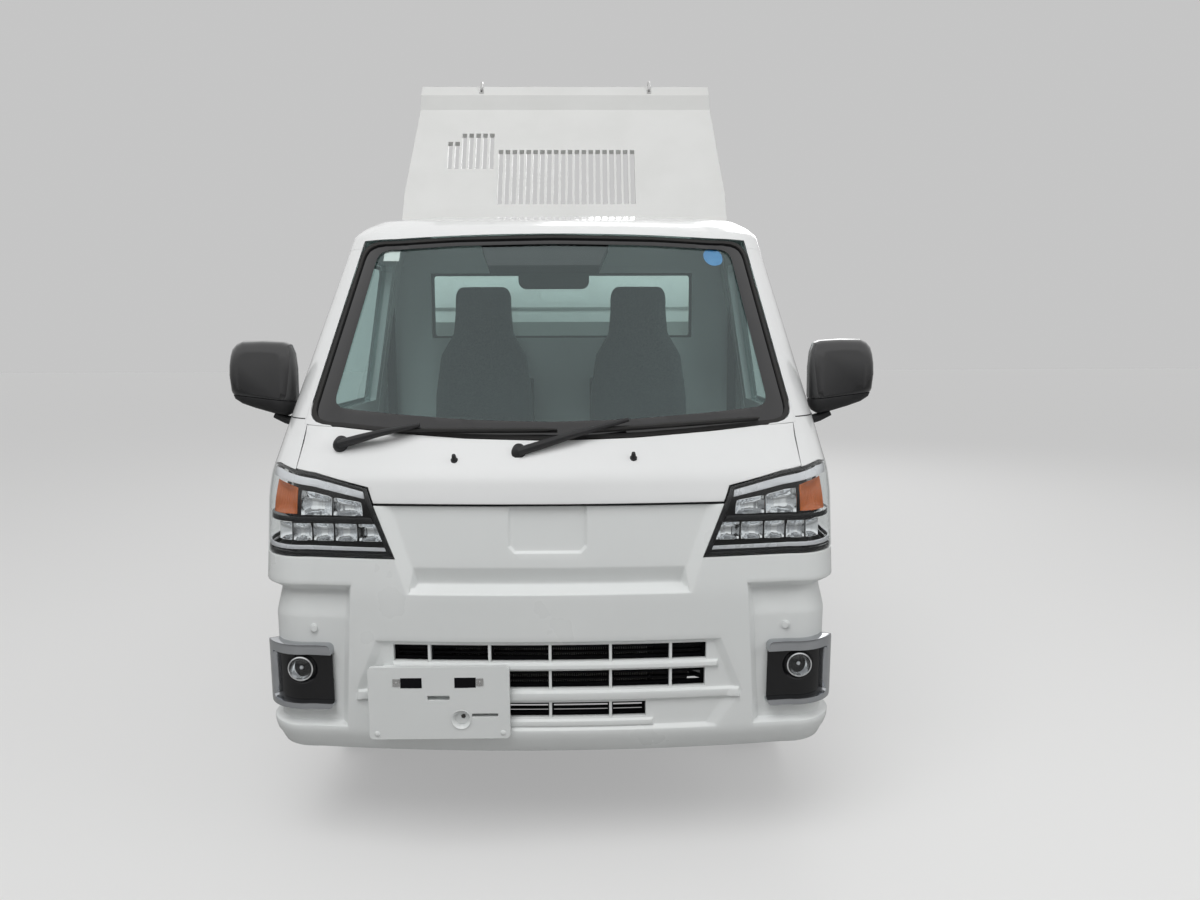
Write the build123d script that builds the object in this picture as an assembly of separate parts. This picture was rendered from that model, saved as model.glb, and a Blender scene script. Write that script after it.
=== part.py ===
"""Kei dump truck: full cab over the front axle, steel tipping bed shown raised.

Millimetres. x is across, positive to the truck's own left. y is the station, 0 at the front of
the bumper and growing to the rear. z is up from the ground. At the end every piece is moved
along y by one amount, so that y = 0 lies midway along the truck as it stands here.
The bed and what rides on it are drawn lowered, and then turned about the bed's hinge.
"""
import os
from math import cos, hypot, radians, sin, sqrt

from build123d import *

os.makedirs("parts", exist_ok=True)

# Overall sizes
CAB_WIDTH = 1475
CAB_REAR = 1345
ROOF_HEIGHT = 1780
SKIRT_HEIGHT = 287
WHEELBASE = 1900
FRONT_AXLE = 745
FRONT_TRACK = 1305
REAR_TRACK = 1300
REAR_AXLE = FRONT_AXLE + WHEELBASE

# Wheels, 145/80R12 tyres on 12 inch steel rims
TYRE_RADIUS = 268
TYRE_WIDTH = 145
TYRE_SHOULDER = 22
BEAD_RADIUS = 158
RIM_FLANGE_RADIUS = 166
RIM_WIDTH = 110
RIM_WALL = 5
HUB_BORE = 54
WHEEL_VENTS = 10
VENT_CIRCLE = 101
VENT_LENGTH = 27
VENT_HEIGHT = 17

# Cab skin and its panels
WINDSCREEN_FOOT = 1080
WINDSCREEN_HEAD = ROOF_HEIGHT - 140
PILLAR_RUN = 430
BODY_WALL = 35
DOOR_SKIN = 8
GLASS = 5
GLASS_DEPTH = 10
SEAM = 3
SEAM_DEPTH = 5
LAMP_DEPTH = 62
BUMPER_TOP = 922
BUMPER_STEP = 620
BUMPER_SKIN = 12
ROOF_SPLIT = ROOF_HEIGHT - 180
ARCH_RADIUS = 330
ARCH_FLANGE = 35
FRONT_PANEL_HALF = 645
REAR_WALL_BOTTOM = 490
REAR_WINDOW_LOW = 1330
REAR_WINDOW_TOP = ROOF_HEIGHT - 205
REAR_WINDOW_HALF = 500
ROOF_RIBS = (-240, -80, 80, 240)

# Bumper face: the recess between the lamps, the pockets at the corners and the grille. The grille
# rows give the ends across, and the lower and upper edge of each opening.
RECESS = 20
FLANK_FLARE = 0.6
SHELF_LOW = 716
SHELF_TOP = 748
GARNISH_OUTLINE = [(-480, 932), (480, 932), (398, 790), (372, 748), (322, SHELF_LOW), (-322, SHELF_LOW),
                   (-372, 748), (-398, 790)]
POCKET_INNER = 505
POCKET_REAR = 330
POCKET_LOW = 372
POCKET_SLOPE_LOW = 636
POCKET_TOP = 694
FOG_BEZEL_REAR = 290
GRILLE_ROWS = [
    (-395, 395, 527, 570),
    (-395, 392, 456, 503),
    (-395, 241, 381, 420),
]
GRILLE_BARS = (-304, -152, 0, 152, 304)
GRILLE_BAR_WIDTH = 9
GRILLE_BED_DEPTH = 9
GRILLE_PLATE = 12
GRILLE_SLAT = 4
PLATE_SLOTS = [(-352, -318, 470, 486), (-236, -202, 470, 486), (-305, -250, 438, 450), (-195, -130, 394, 403)]
PLATE_SCREWS = (-382, -172)
PLATE_SCREW_HEIGHT = 478
PLATE_SCREW_RADIUS = 3.2

# Wipers: the pivot, where the arm meets the blade, and the blade's far end
WIPERS = [
    ((-539, 150, 1062), (-330, 112, 1098), (20, 100, 1094)),
    ((-77, 96, 1046), (180, 106, 1110), (540, 182, 1112)),
]

# Door mirrors, on the positive side
MIRROR_INNER = 730
MIRROR_OUTER = 915
MIRROR_LOW = 1122
MIRROR_HIGH = 1328
MIRROR_FRONT = 362
MIRROR_REAR = 436

# Doors
DOOR_FRONT = 360
DOOR_REAR = 1215
DOOR_TOP = ROOF_HEIGHT - 130
DOOR_SILL = 350
BELT = 1085
DOOR_GAP = 6
DOOR_INNER_GAP = 17
WINDOW_MARGIN = 62

# Cab inside
FLOOR_HEIGHT = 505
FLOOR_PLATE = 15
RISER_STATION = 560
TOE_BOARD = 150
TOE_WALL = 10
TOE_TOP = 785
SEAT_DECK = 720
LINER = 8
WHEELHOUSE_INNER = 400
SEAT_CENTRE = 285
SEAT_WIDTH = 430
CUSHION_TOP = 830
SEAT_BACK_TOP = ROOF_HEIGHT - 240

# Steering
WHEEL_RIM_RADIUS = 182
WHEEL_GRIP = 14
STEERING_CENTRE_Y = 625
STEERING_CENTRE_Z = 975
COLUMN_RAKE = 52
KINGPIN_LOW = (FRONT_TRACK / 2 - 42.5, 190)
KINGPIN_HIGH = (FRONT_TRACK / 2 - 122.5, 590)
RUN_CLEARANCE = 0.3
BALL_RADIUS = 14

# Chassis
RAIL_X = 340
RAIL_WIDTH = 50
RAIL_TOP = 480
RAIL_HEIGHT = 90
RAIL_FRONT = 190
RAIL_REAR = 3205
SPRING_X = 410
SPRING_LENGTH = 1000
SPRING_WIDTH = 50
SPRING_STACK = 30
AXLE_TUBE_RADIUS = 32
DRUM_RADIUS = 105
MUDGUARD_RADIUS = 292
ENGINE_REAR = 1240
GEARBOX_REAR = 1560
DRIVE_X = -120
DIFF_NOSE = 150
SHAFT_END_GAP = 1.6

# Cross members as rows of the station, the underside and the top
CROSS_MEMBERS = [
    (212, 398, 456),
    (620, 398, 456),
    (2180, 362, 400),
    (2900, 398, 456),
    (3183, 398, 456),
]
CAB_PADS = (300, 520)
BED_RESTS = (1540, 2420)

# Tie down eyes as rows of the station and the height
TIE_DOWNS = [
    (240, 262),
    (3060, 360),
]
TIE_EYE_RADIUS = 13
TIE_PLATE = 12

# Tipping bed, drawn lowered
BED_TIP = 28.3
BED_HINGE_Y = 3156
BED_HINGE_Z = 497
BED_FRONT = 1400
BED_REAR = 3395
BED_WIDTH = 1475
BED_FLOOR = 655
BED_PLATE = 12
CROSS_BEARER = 60
BED_RAIL_X = 405
BED_RAIL_BOTTOM = 520
GATE_HEIGHT = 285
GATE_WALL = 24
GATE_CLEARANCE = 6
POST = 45
HEADBOARD_FOOT = 600
HEADBOARD_WALL = 28
HEADBOARD_KINK = 617
HEADBOARD_PANEL_TOP = 1101
HEADBOARD_KINK_WIDTH = 1444
HEADBOARD_TOP_WIDTH = 1336
HOOD_LEAN = 36
HOOD_RISE = 54
LIP_RISE = 50
CROSS_BEARERS = (1440, 1700, 1960, 2220, 2430, 2860, 3120, 3365)
HINGE_PIN_RADIUS = 12
GATE_PIN_HEIGHT = BED_FLOOR + GATE_HEIGHT
TAIL_PIN_RADIUS = 8
GATE_HINGES = (1650, 2390, 3130)
GATE_AXIS_OUT = 8
GATE_AXIS_Z = BED_FLOOR - 10
GATE_KNUCKLE = 6
GATE_PIN_RADIUS = 3
SLOT_WIDTH = 21
SLOT_PITCH = 31.7

# Tipping cylinder
LIFT_FOOT_Y = 1686
LIFT_FOOT_Z = 340
LIFT_EYE_Y = 2650
LIFT_EYE_Z = 560
BARREL_RADIUS = 38
BARREL_LENGTH = 760
ROD_RADIUS = 20
LIFT_PIN_RADIUS = 12
LIFT_EAR_X = 34


def box(x0, x1, y0, y1, z0, z1):
    """Block between two corners."""
    return Pos((x0 + x1) / 2, (y0 + y1) / 2, (z0 + z1) / 2) * Box(x1 - x0, y1 - y0, z1 - z0)


def rod_x(x0, x1, y, z, radius):
    """Round bar across the truck."""
    return Pos((x0 + x1) / 2, y, z) * Rot(0, 90, 0) * Cylinder(radius, x1 - x0)


def rod_y(x, y0, y1, z, radius):
    """Round bar along the truck."""
    return Pos(x, (y0 + y1) / 2, z) * Rot(90, 0, 0) * Cylinder(radius, y1 - y0)


def rod_z(x, y, z0, z1, radius):
    """Upright round bar."""
    return Pos(x, y, (z0 + z1) / 2) * Cylinder(radius, z1 - z0)


def bar(start, end, radius):
    """Round bar between two points."""
    axis = Vector(*end) - Vector(*start)
    plane = Plane(origin=Vector(*start) + axis / 2, z_dir=axis)
    return plane * Cylinder(radius, axis.length)


def side_prism(points, x0, x1):
    """Outline of (station, height) points carried across from x0 to x1."""
    face = make_face(Polyline([(x0, y, z) for y, z in points], close=True))
    return extrude(face, amount=x1 - x0, dir=(1, 0, 0))


def front_prism(outline, y0, y1):
    """Outline of (across, height) edges or points carried along from y0 to y1."""
    face = make_face(Polyline([(x, y0, z) for x, z in outline], close=True))
    return extrude(face, amount=y1 - y0, dir=(0, 1, 0))


def plan_prism(points, z0, z1):
    """Outline of (across, station) points carried up from z0 to z1."""
    face = make_face(Polyline([(x, y, z0) for x, y in points], close=True))
    return extrude(face, amount=z1 - z0, dir=(0, 0, 1))


def mirrored(shape):
    """The same piece on the truck's other side."""
    return mirror(shape, about=Plane.YZ)


def both(shape):
    """The piece and its twin on the other side."""
    return [shape, mirrored(shape)]


def turned(profile, x, y, z):
    """Ring turned about the axle line, from a closed (offset across, radius) outline."""
    face = make_face(Polyline([(offset, radius, 0) for offset, radius in profile], close=True))
    return Pos(x, y, z) * revolve(face, Axis.X, 360)


# Cab skin: one plan section at each height. The columns are the height, the station of the nose
# on the centre line, the station and the half width where the front turns into the corner, how
# far the side is tucked in from the full width, and the station where the side starts.
CAB_SECTIONS = [
    (SKIRT_HEIGHT, 25, 65, 600, 22, 190),
    (330, 2, 42, 610, 3, 170),
    (700, 5, 45, 615, 0, 170),
    (930, 30, 76, 602, 1, 215),
    (990, 44, 94, 592, 3, 255),
    (WINDSCREEN_FOOT, 115, 185, 560, 8, 330),
    (WINDSCREEN_HEAD, 600, 640, 480, 98, 330 + PILLAR_RUN),
    (ROOF_HEIGHT - 80, 655, 700, 460, 120, 830),
    (ROOF_HEIGHT - 35, 740, 790, 430, 158, 900),
    (ROOF_HEIGHT, 1000, 1030, 320, 298, 1060),
]


def skin_ring(row, inset):
    """Plan section of the cab from a row of the table, this far inside the outer skin."""
    _, nose, corner_y, corner_x, tuck, side_y = row
    rear = CAB_REAR - inset
    side = CAB_WIDTH / 2 - tuck - inset
    turn_x = corner_x - inset / 2
    nose_y = nose + inset
    turn_y = corner_y + inset
    start_y = side_y + inset
    bend = (turn_x / 4 + side * 3 / 4, turn_y * 3 / 4 + start_y / 4)
    edges = [
        Line((-side, rear), (-side, start_y)),
        ThreePointArc((-side, start_y), (-bend[0], bend[1]), (-turn_x, turn_y)),
        ThreePointArc((-turn_x, turn_y), (0, nose_y), (turn_x, turn_y)),
        ThreePointArc((turn_x, turn_y), bend, (side, start_y)),
        Line((side, start_y), (side, rear)),
        Line((side, rear), (-side, rear)),
    ]
    return make_face(edges)


def cab_form(inset):
    """Solid cab whose skin lies this far inside the outer skin, or outside where negative."""
    squash = inset / (ROOF_HEIGHT - SKIRT_HEIGHT)
    rings = []
    for row in CAB_SECTIONS:
        height = row[0]
        rings.append(Pos(0, 0, height - squash * (height - SKIRT_HEIGHT)) * skin_ring(row, inset))
    return loft(rings, ruled=True)


def section_at(height):
    """Row of the skin's table at any height, in line between its neighbours."""
    for low, high in zip(CAB_SECTIONS, CAB_SECTIONS[1:]):
        if height <= high[0]:
            share = (height - low[0]) / (high[0] - low[0])
            return tuple(a + (b - a) * share for a, b in zip(low, high))
    return CAB_SECTIONS[-1]


def stepped_form(steps):
    """Solid whose skin lies at a depth that changes with height, from rows of (height, depth)."""
    rings = [Pos(0, 0, height) * skin_ring(section_at(height), depth) for height, depth in steps]
    return loft(rings, ruled=True)


def flared_prism(outline, y0, y1, y_true, flare):
    """Prism of an (across, height) outline whose sides close in by flare for each mm to the rear."""
    rings = []
    for y in (y0, y1):
        shift = flare * (y - y_true)
        points = [(x - shift if x > 0 else x + shift, y, z) for x, z in outline]
        rings.append(make_face(Polyline(points, close=True)))
    return loft(rings, ruled=True)


OUTER_FORM = cab_form(0)
INNER_FORM = cab_form(BODY_WALL)
SKIN_FORM = cab_form(DOOR_SKIN)
GLASS_FORM = cab_form(GLASS_DEPTH + GLASS)
GLASS_FACE_FORM = cab_form(GLASS_DEPTH)
CAB_SHELL = OUTER_FORM - INNER_FORM
REACH = CAB_WIDTH


def windscreen_opening(margin=0):
    """Windscreen outline carried back through the front of the cab."""
    low_x = 650 - margin
    high_x = 580 - margin
    low_z = WINDSCREEN_FOOT + 30 + margin
    high_z = WINDSCREEN_HEAD - 15 - margin
    edges = [
        ThreePointArc((-low_x, 0, low_z), (0, 0, WINDSCREEN_FOOT - 3 + margin), (low_x, 0, low_z)),
        Line((low_x, 0, low_z), (high_x, 0, high_z)),
        ThreePointArc((high_x, 0, high_z), (0, 0, WINDSCREEN_HEAD + 3 - margin), (-high_x, 0, high_z)),
        Line((-high_x, 0, high_z), (-low_x, 0, low_z)),
    ]
    return extrude(make_face(edges), amount=830, dir=(0, 1, 0))


def lamp_opening(side):
    """Headlamp outline carried back through the corner of the cab."""
    outline = [(455, 961), (700, 1015), (760, 1000), (760, 800), (722, 794), (386, 790)]
    return front_prism([(side * x, z) for x, z in outline], -60, 330)


def pillar_slope():
    """How far the windscreen pillar runs back for each mm of height."""
    return PILLAR_RUN / (WINDSCREEN_HEAD - WINDSCREEN_FOOT)


def door_outline(gap):
    """Side outline of a door, kept this far inside its opening."""
    slope = pillar_slope()
    front = DOOR_FRONT + gap
    top = DOOR_TOP - gap
    rear = DOOR_REAR - gap
    sill = DOOR_SILL + gap
    step = BUMPER_STEP + gap
    slant = front + slope * (DOOR_TOP - BELT) + gap * slope
    outline = [
        (front, step),
        (front, BELT),
        (slant - 22, top - 30),
        (slant + 10, top),
        (rear - 30, top),
        (rear, top - 30),
        (rear, sill),
        (FRONT_AXLE, sill),
        (FRONT_AXLE, step),
    ]
    return outline


def door_prism(gap):
    """Both door openings, less the round of the wheel arch and its flange."""
    arch = rod_x(-REACH, REACH, FRONT_AXLE, TYRE_RADIUS, ARCH_RADIUS + ARCH_FLANGE + gap)
    return side_prism(door_outline(gap), -REACH, REACH) - arch


def window_prism(margin):
    """Side window openings, kept inside the door's outline."""
    slope = pillar_slope()
    front = DOOR_FRONT + margin * 1.3
    top = DOOR_TOP - margin
    rear = DOOR_REAR - margin
    low = BELT + margin - WINDOW_MARGIN + 20
    slant = front + slope * (top - BELT)
    outline = [
        (front + slope * (low - BELT), low),
        (slant - 8, top - 12),
        (slant + 12, top),
        (rear - 20, top),
        (rear, top - 20),
        (rear, low),
    ]
    return side_prism(outline, -REACH, REACH)


DOOR_ZONE = side_prism([(DOOR_FRONT - 60, 200), (DOOR_FRONT - 60, 1700), (CAB_REAR, 1700), (CAB_REAR, 200)],
                       400, REACH)
WINDSCREEN_CUT = windscreen_opening()
LAMP_CUTS = [lamp_opening(1), lamp_opening(-1)]
ARCH_CUT = rod_x(-REACH, REACH, FRONT_AXLE, TYRE_RADIUS, ARCH_RADIUS)
GRILLE_ZONE = box(-430, 430, -60, 300, 350, 600)
BUMPER_ZONE = side_prism(
    [(-60, 200), (-60, BUMPER_TOP), (DOOR_FRONT, BUMPER_TOP), (DOOR_FRONT, BUMPER_STEP),
     (FRONT_AXLE, BUMPER_STEP), (FRONT_AXLE, 200)], -REACH, REACH)
POCKET_FORM = stepped_form([(POCKET_LOW, -2), (POCKET_LOW + 10, RECESS), (POCKET_SLOPE_LOW, RECESS),
                            (POCKET_TOP, -2)])
HINGE_PILLAR_ZONE = box(-REACH, REACH, 300, FRONT_AXLE, 200, BUMPER_STEP)
FRONT_PANEL_ZONE = box(-FRONT_PANEL_HALF, FRONT_PANEL_HALF, -60, 500, BUMPER_TOP, 1150)


def layer(depth_from, depth_to, zone):
    """What lies between two depths below the skin, inside a zone."""
    outer = cab_form(depth_from) & zone
    return outer - cab_form(depth_to)


def keep_large(shape, smallest=2000):
    """The solids of a cut piece, without crumbs smaller than a few cubic millimetres."""
    return [solid for solid in shape.solids() if solid.volume > smallest]


def between_bars(start, end, bars, width):
    """Open stretches from start to end, between bars of one width."""
    edges = [start]
    for centre in bars:
        if start < centre < end:
            edges += [centre - width / 2, centre + width / 2]
    edges.append(end)
    return list(zip(edges[::2], edges[1::2]))


def make_bumper():
    """Bumper cover with its stepped face, lamp pockets, grille rows and their upright bars."""
    cover = (CAB_SHELL & BUMPER_ZONE) - ARCH_CUT
    for cut in LAMP_CUTS:
        cover = cover - cut
    # The upper middle lies back between the lamps, above a sloping shelf and between slanted flanks.
    garnish = flared_prism(GARNISH_OUTLINE, -60, 300, 24, FLANK_FLARE)
    shelf_form = stepped_form([(SHELF_LOW, -2), (SHELF_TOP, RECESS), (BUMPER_TOP + 12, RECESS)])
    cover = cover - (garnish - shelf_form)
    badge = [(-84, 802), (84, 802), (96, 814), (92, 910), (-92, 910), (-96, 814)]
    cover = cover - layer(-20, RECESS + 7, front_prism(badge, -60, 300))
    # The lamp pockets run round the corners, under a long slope and above a narrow ledge.
    plan = [(POCKET_INNER - 93 * FLANK_FLARE, -60), (REACH, -60), (REACH, POCKET_REAR),
            (POCKET_INNER + (POCKET_REAR - 33) * FLANK_FLARE, POCKET_REAR)]
    pocket = plan_prism(plan, POCKET_LOW, POCKET_TOP) - POCKET_FORM
    cover = cover - pocket - mirrored(pocket)
    bed = [(-425, 368), (425, 368), (425, 588), (-425, 588)]
    cover = cover - layer(-20, GRILLE_BED_DEPTH, front_prism(bed, -60, 300))
    for x0, x1, z0, z1 in GRILLE_ROWS:
        for left, right in between_bars(x0, x1, GRILLE_BARS, GRILLE_BAR_WIDTH):
            cover = cover - box(left, right, -60, 300, z0, z1)
    cover = cover - (cab_form(BUMPER_SKIN) & HINGE_PILLAR_ZONE)
    seam = box(-REACH, REACH, -60, DOOR_FRONT, BUMPER_TOP - SEAM, BUMPER_TOP + 5)
    return keep_large(cover - layer(-20, SEAM_DEPTH, seam))


def make_grille():
    """Dark grille insert behind the cover, with a mesh of slats across each row."""
    insert = layer(BODY_WALL, BODY_WALL + GRILLE_PLATE, GRILLE_ZONE)
    for x0, x1, z0, z1 in GRILLE_ROWS:
        slats = (z0 + (z1 - z0) / 3, z1 - (z1 - z0) / 3)
        for left, right in between_bars(x0 + 8, x1 - 8, GRILLE_BARS, GRILLE_BAR_WIDTH + 5):
            for low, high in between_bars(z0 + 4, z1 - 4, slats, GRILLE_SLAT):
                insert = insert - box(left, right, -60, 300, low, high)
    return [insert]


def make_plate_bracket():
    """Number plate carrier on the bumper, with its slots, cup and two screw holes."""
    plate = box(-452, -100, -12, -1, 337, 525)
    plate = fillet(plate.edges().filter_by(Axis.Y), 12)
    plate = plate + (box(-420, -112, -2, 60, 372, 515) - cab_form(GRILLE_BED_DEPTH))
    for x0, x1, z0, z1 in PLATE_SLOTS:
        plate = plate - box(x0, x1, -20, 60, z0, z1)
    plate = plate - rod_y(-222, -20, 0, 388, 24)
    for x in PLATE_SCREWS:
        plate = plate - rod_y(x, -20, 60, PLATE_SCREW_HEIGHT, PLATE_SCREW_RADIUS)
    return keep_large(plate)


def make_fog_lamps():
    """Two bright bezels in the corner pockets, each round a dark dish and a round lamp."""
    pieces = []
    for side in (1, -1):
        def zone(x0, x1, z0, z1):
            lo, hi = sorted((side * x0, side * x1))
            return box(lo, hi, -60, FOG_BEZEL_REAR, z0, z1)
        bezel = (cab_form(-6) & zone(555, 727, 399, 566)) - POCKET_FORM
        bezel = bezel - layer(-20, 10, zone(575, 712, 417, 540))
        lamp = rod_y(side * 637, 20, 80, 499, 31)
        lamp = lamp & cab_form(-2)
        lamp = lamp - cab_form(12)
        pieces.append(bezel + lamp)
    return pieces


def make_headlamps():
    """Two corner lamps whose lens is part of the cab's skin."""
    return [layer(0, LAMP_DEPTH, cut) for cut in LAMP_CUTS]


def make_front_panel():
    """Service cover below the windscreen."""
    panel = CAB_SHELL & FRONT_PANEL_ZONE
    panel = panel - WINDSCREEN_CUT
    for cut in LAMP_CUTS:
        panel = panel - cut
    for side in (1, -1):
        x = side * FRONT_PANEL_HALF
        panel = panel - layer(-20, SEAM_DEPTH, box(x - SEAM, x + SEAM, -60, 500, BUMPER_TOP, 1150))
    return keep_large(panel)


def make_side_frames():
    """Windscreen pillars, hinge pillars, rear pillars and sills round the two door openings."""
    frame = CAB_SHELL & box(-REACH, REACH, -60, CAB_REAR - BODY_WALL, 200, ROOF_SPLIT)
    frame = frame - WINDSCREEN_CUT - FRONT_PANEL_ZONE - BUMPER_ZONE - door_prism(0) - ARCH_CUT
    pillar = (cab_form(BUMPER_SKIN) & HINGE_PILLAR_ZONE) - INNER_FORM - ARCH_CUT
    frame = frame + pillar
    for cut in LAMP_CUTS:
        frame = frame - cut
    return keep_large(frame)


def make_roof():
    """Roof with its shallow ribs, and the header above the windscreen."""
    roof = CAB_SHELL & box(-REACH, REACH, -60, CAB_REAR, ROOF_SPLIT, 1900)
    roof = roof - WINDSCREEN_CUT - door_prism(0)
    for x in ROOF_RIBS:
        roof = roof - box(x - 22, x + 22, 1080, 1300, ROOF_HEIGHT - 5, ROOF_HEIGHT + 10)
    return keep_large(roof)


def make_rear_wall():
    """Rear wall of the cab, with its window cut."""
    wall = CAB_SHELL & box(-REACH, REACH, CAB_REAR - BODY_WALL, CAB_REAR, 330, ROOF_SPLIT)
    wall = wall - box(-CAB_WIDTH / 2 + 45, CAB_WIDTH / 2 - 45, 1000, 1500, 200, REAR_WALL_BOTTOM)
    return keep_large(wall - rear_window(CAB_REAR - 100, CAB_REAR + 50))


def rear_window(y0, y1):
    """Block as wide and high as the rear window."""
    return box(-REAR_WINDOW_HALF, REAR_WINDOW_HALF, y0, y1, REAR_WINDOW_LOW, REAR_WINDOW_TOP)


def make_cab_glass():
    """Windscreen and rear window."""
    screen = (GLASS_FACE_FORM & WINDSCREEN_CUT) - GLASS_FORM
    pane_y = CAB_REAR - BODY_WALL / 2
    return keep_large(screen) + [rear_window(pane_y - GLASS / 2, pane_y + GLASS / 2)]


def wheelhouse(radius, x0, x1):
    """Drum round a front wheel, on the positive side."""
    return rod_x(x0, x1, FRONT_AXLE, TYRE_RADIUS, radius)


def strut_x(height):
    """How far out the kingpin's line is at a height."""
    low_x, low_z = KINGPIN_LOW
    high_x, high_z = KINGPIN_HIGH
    return low_x + (high_x - low_x) * (height - low_z) / (high_z - low_z)


def make_cab_floor():
    """Footwell, riser and seat deck in one pressing, with wheelhouses and strut towers."""
    under = FLOOR_HEIGHT - FLOOR_PLATE
    deck_under = SEAT_DECK - FLOOR_PLATE
    outline = [
        (TOE_BOARD, under),
        (TOE_BOARD, TOE_TOP),
        (TOE_BOARD + TOE_WALL, TOE_TOP),
        (TOE_BOARD + TOE_WALL, FLOOR_HEIGHT),
        (RISER_STATION, FLOOR_HEIGHT),
        (RISER_STATION, SEAT_DECK),
        (CAB_REAR, SEAT_DECK),
        (CAB_REAR, deck_under),
        (RISER_STATION + FLOOR_PLATE, deck_under),
        (RISER_STATION + FLOOR_PLATE, under),
    ]
    pan = side_prism(outline, -REACH, REACH) & INNER_FORM
    pan = pan - layer(BODY_WALL, BODY_WALL + GRILLE_PLATE + RUN_CLEARANCE, GRILLE_ZONE)
    outer_x = CAB_WIDTH / 2 - BODY_WALL - 10
    radius = ARCH_RADIUS + LINER
    # The liner ring lies over the wheel and is closed by a wall on its inner side.
    liner = wheelhouse(radius, WHEELHOUSE_INNER - LINER, outer_x)
    liner = liner - wheelhouse(ARCH_RADIUS, WHEELHOUSE_INNER, REACH)
    liner = liner & box(0, REACH, 0, 2000, 420, 900)
    tower_x = strut_x(640)
    tower = rod_z(tower_x, FRONT_AXLE, 560, deck_under, 76)
    shaft = rod_z(tower_x, FRONT_AXLE, 400, deck_under, 70)
    for side in (1, -1):
        half = liner if side == 1 else mirrored(liner)
        drum = wheelhouse(radius, WHEELHOUSE_INNER - LINER, REACH)
        drum = drum if side == 1 else mirrored(drum)
        ring = tower - wheelhouse(ARCH_RADIUS, 0, REACH)
        ring = ring if side == 1 else mirrored(ring)
        hole = shaft if side == 1 else mirrored(shaft)
        pan = (pan - drum) + half + ring
        pan = pan - hole
        lo, hi = sorted((side * outer_x, side * REACH))
        pan = pan - box(lo, hi, DOOR_FRONT - 12, DOOR_REAR + 12, 200, 1700)
    return keep_large(pan)


def make_dashboard():
    """Dashboard across the cab, with the steering column's shroud."""
    low = TOE_TOP + RUN_CLEARANCE
    outline = [(60, low), (60, 1052), (300, 1052), (430, 1035), (490, 990), (505, 930), (480, 850),
               (420, low)]
    body = side_prism(outline, -650, 650) & cab_form(BODY_WALL + RUN_CLEARANCE)
    for cut in LAMP_CUTS:
        body = body - layer(-1, LAMP_DEPTH + RUN_CLEARANCE, cut)
    body = body + box(-SEAT_CENTRE - 40, -SEAT_CENTRE + 40, 440, 555, 815, 875)
    axis = (cos(radians(COLUMN_RAKE)), sin(radians(COLUMN_RAKE)))
    top = (-SEAT_CENTRE, STEERING_CENTRE_Y - 62 * axis[0], STEERING_CENTRE_Z - 62 * axis[1])
    foot = (-SEAT_CENTRE, STEERING_CENTRE_Y - 330 * axis[0], STEERING_CENTRE_Z - 330 * axis[1])
    return [body + bar(foot, top, 34)]


def make_seats():
    """Two high backed seats, each a cushion and a back in one."""
    outline = [
        (640, SEAT_DECK),
        (628, SEAT_DECK + 60),
        (650, CUSHION_TOP),
        (1060, CUSHION_TOP - 12),
        (1120, SEAT_BACK_TOP - 250),
        (1165, SEAT_BACK_TOP - 20),
        (1200, SEAT_BACK_TOP),
        (1232, SEAT_BACK_TOP - 25),
        (1236, SEAT_BACK_TOP - 260),
        (1180, SEAT_DECK),
    ]
    seat = side_prism(outline, SEAT_CENTRE - SEAT_WIDTH / 2, SEAT_CENTRE + SEAT_WIDTH / 2)
    neck = [(SEAT_CENTRE - 230, 1700), (SEAT_CENTRE - 230, 1330), (SEAT_CENTRE - 205, 1330),
            (SEAT_CENTRE - 120, SEAT_BACK_TOP - 60), (SEAT_CENTRE - 95, 1700)]
    for flip in (1, -1):
        cut = [(SEAT_CENTRE + flip * (x - SEAT_CENTRE), z) for x, z in neck]
        seat = seat - front_prism(cut, 900, 1400)
    return both(seat)


def make_steering_wheel():
    """Three spoke wheel on a hub that runs on top of the column's shroud."""
    grip = []
    for index in range(8):
        angle = radians(22.5 + 45 * index)
        grip.append((WHEEL_RIM_RADIUS + WHEEL_GRIP * cos(angle), 0, WHEEL_GRIP * sin(angle)))
    rim = revolve(make_face(Polyline(grip, close=True)), Axis.Z, 360)
    hub = Pos(0, 0, -38 - RUN_CLEARANCE / 2) * Cylinder(52, 48 - RUN_CLEARANCE)
    wheel = rim + hub
    for turn in (0, 180, 270):
        arm = Rot(0, -13, 0) * Box(WHEEL_RIM_RADIUS - 12, 34, 16)
        wheel = wheel + Rot(0, 0, turn) * Pos(WHEEL_RIM_RADIUS / 2 + 12, 0, -18) * arm
    plane = Plane(
        origin=(-SEAT_CENTRE, STEERING_CENTRE_Y, STEERING_CENTRE_Z),
        x_dir=(1, 0, 0),
        z_dir=(0, cos(radians(COLUMN_RAKE)), sin(radians(COLUMN_RAKE))),
    )
    return [plane * wheel]


def make_wipers():
    """Two wiper arms with their blades along the foot of the windscreen."""
    pieces = []
    for pivot, blade_in, blade_out in WIPERS:
        cap = rod_y(pivot[0], pivot[1] - 14, pivot[1] + 12, pivot[2], 13)
        arm = bar(pivot, blade_in, 7) + bar(blade_in, blade_out, 6) + cap
        pieces.append(arm - OUTER_FORM)
    return pieces


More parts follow.
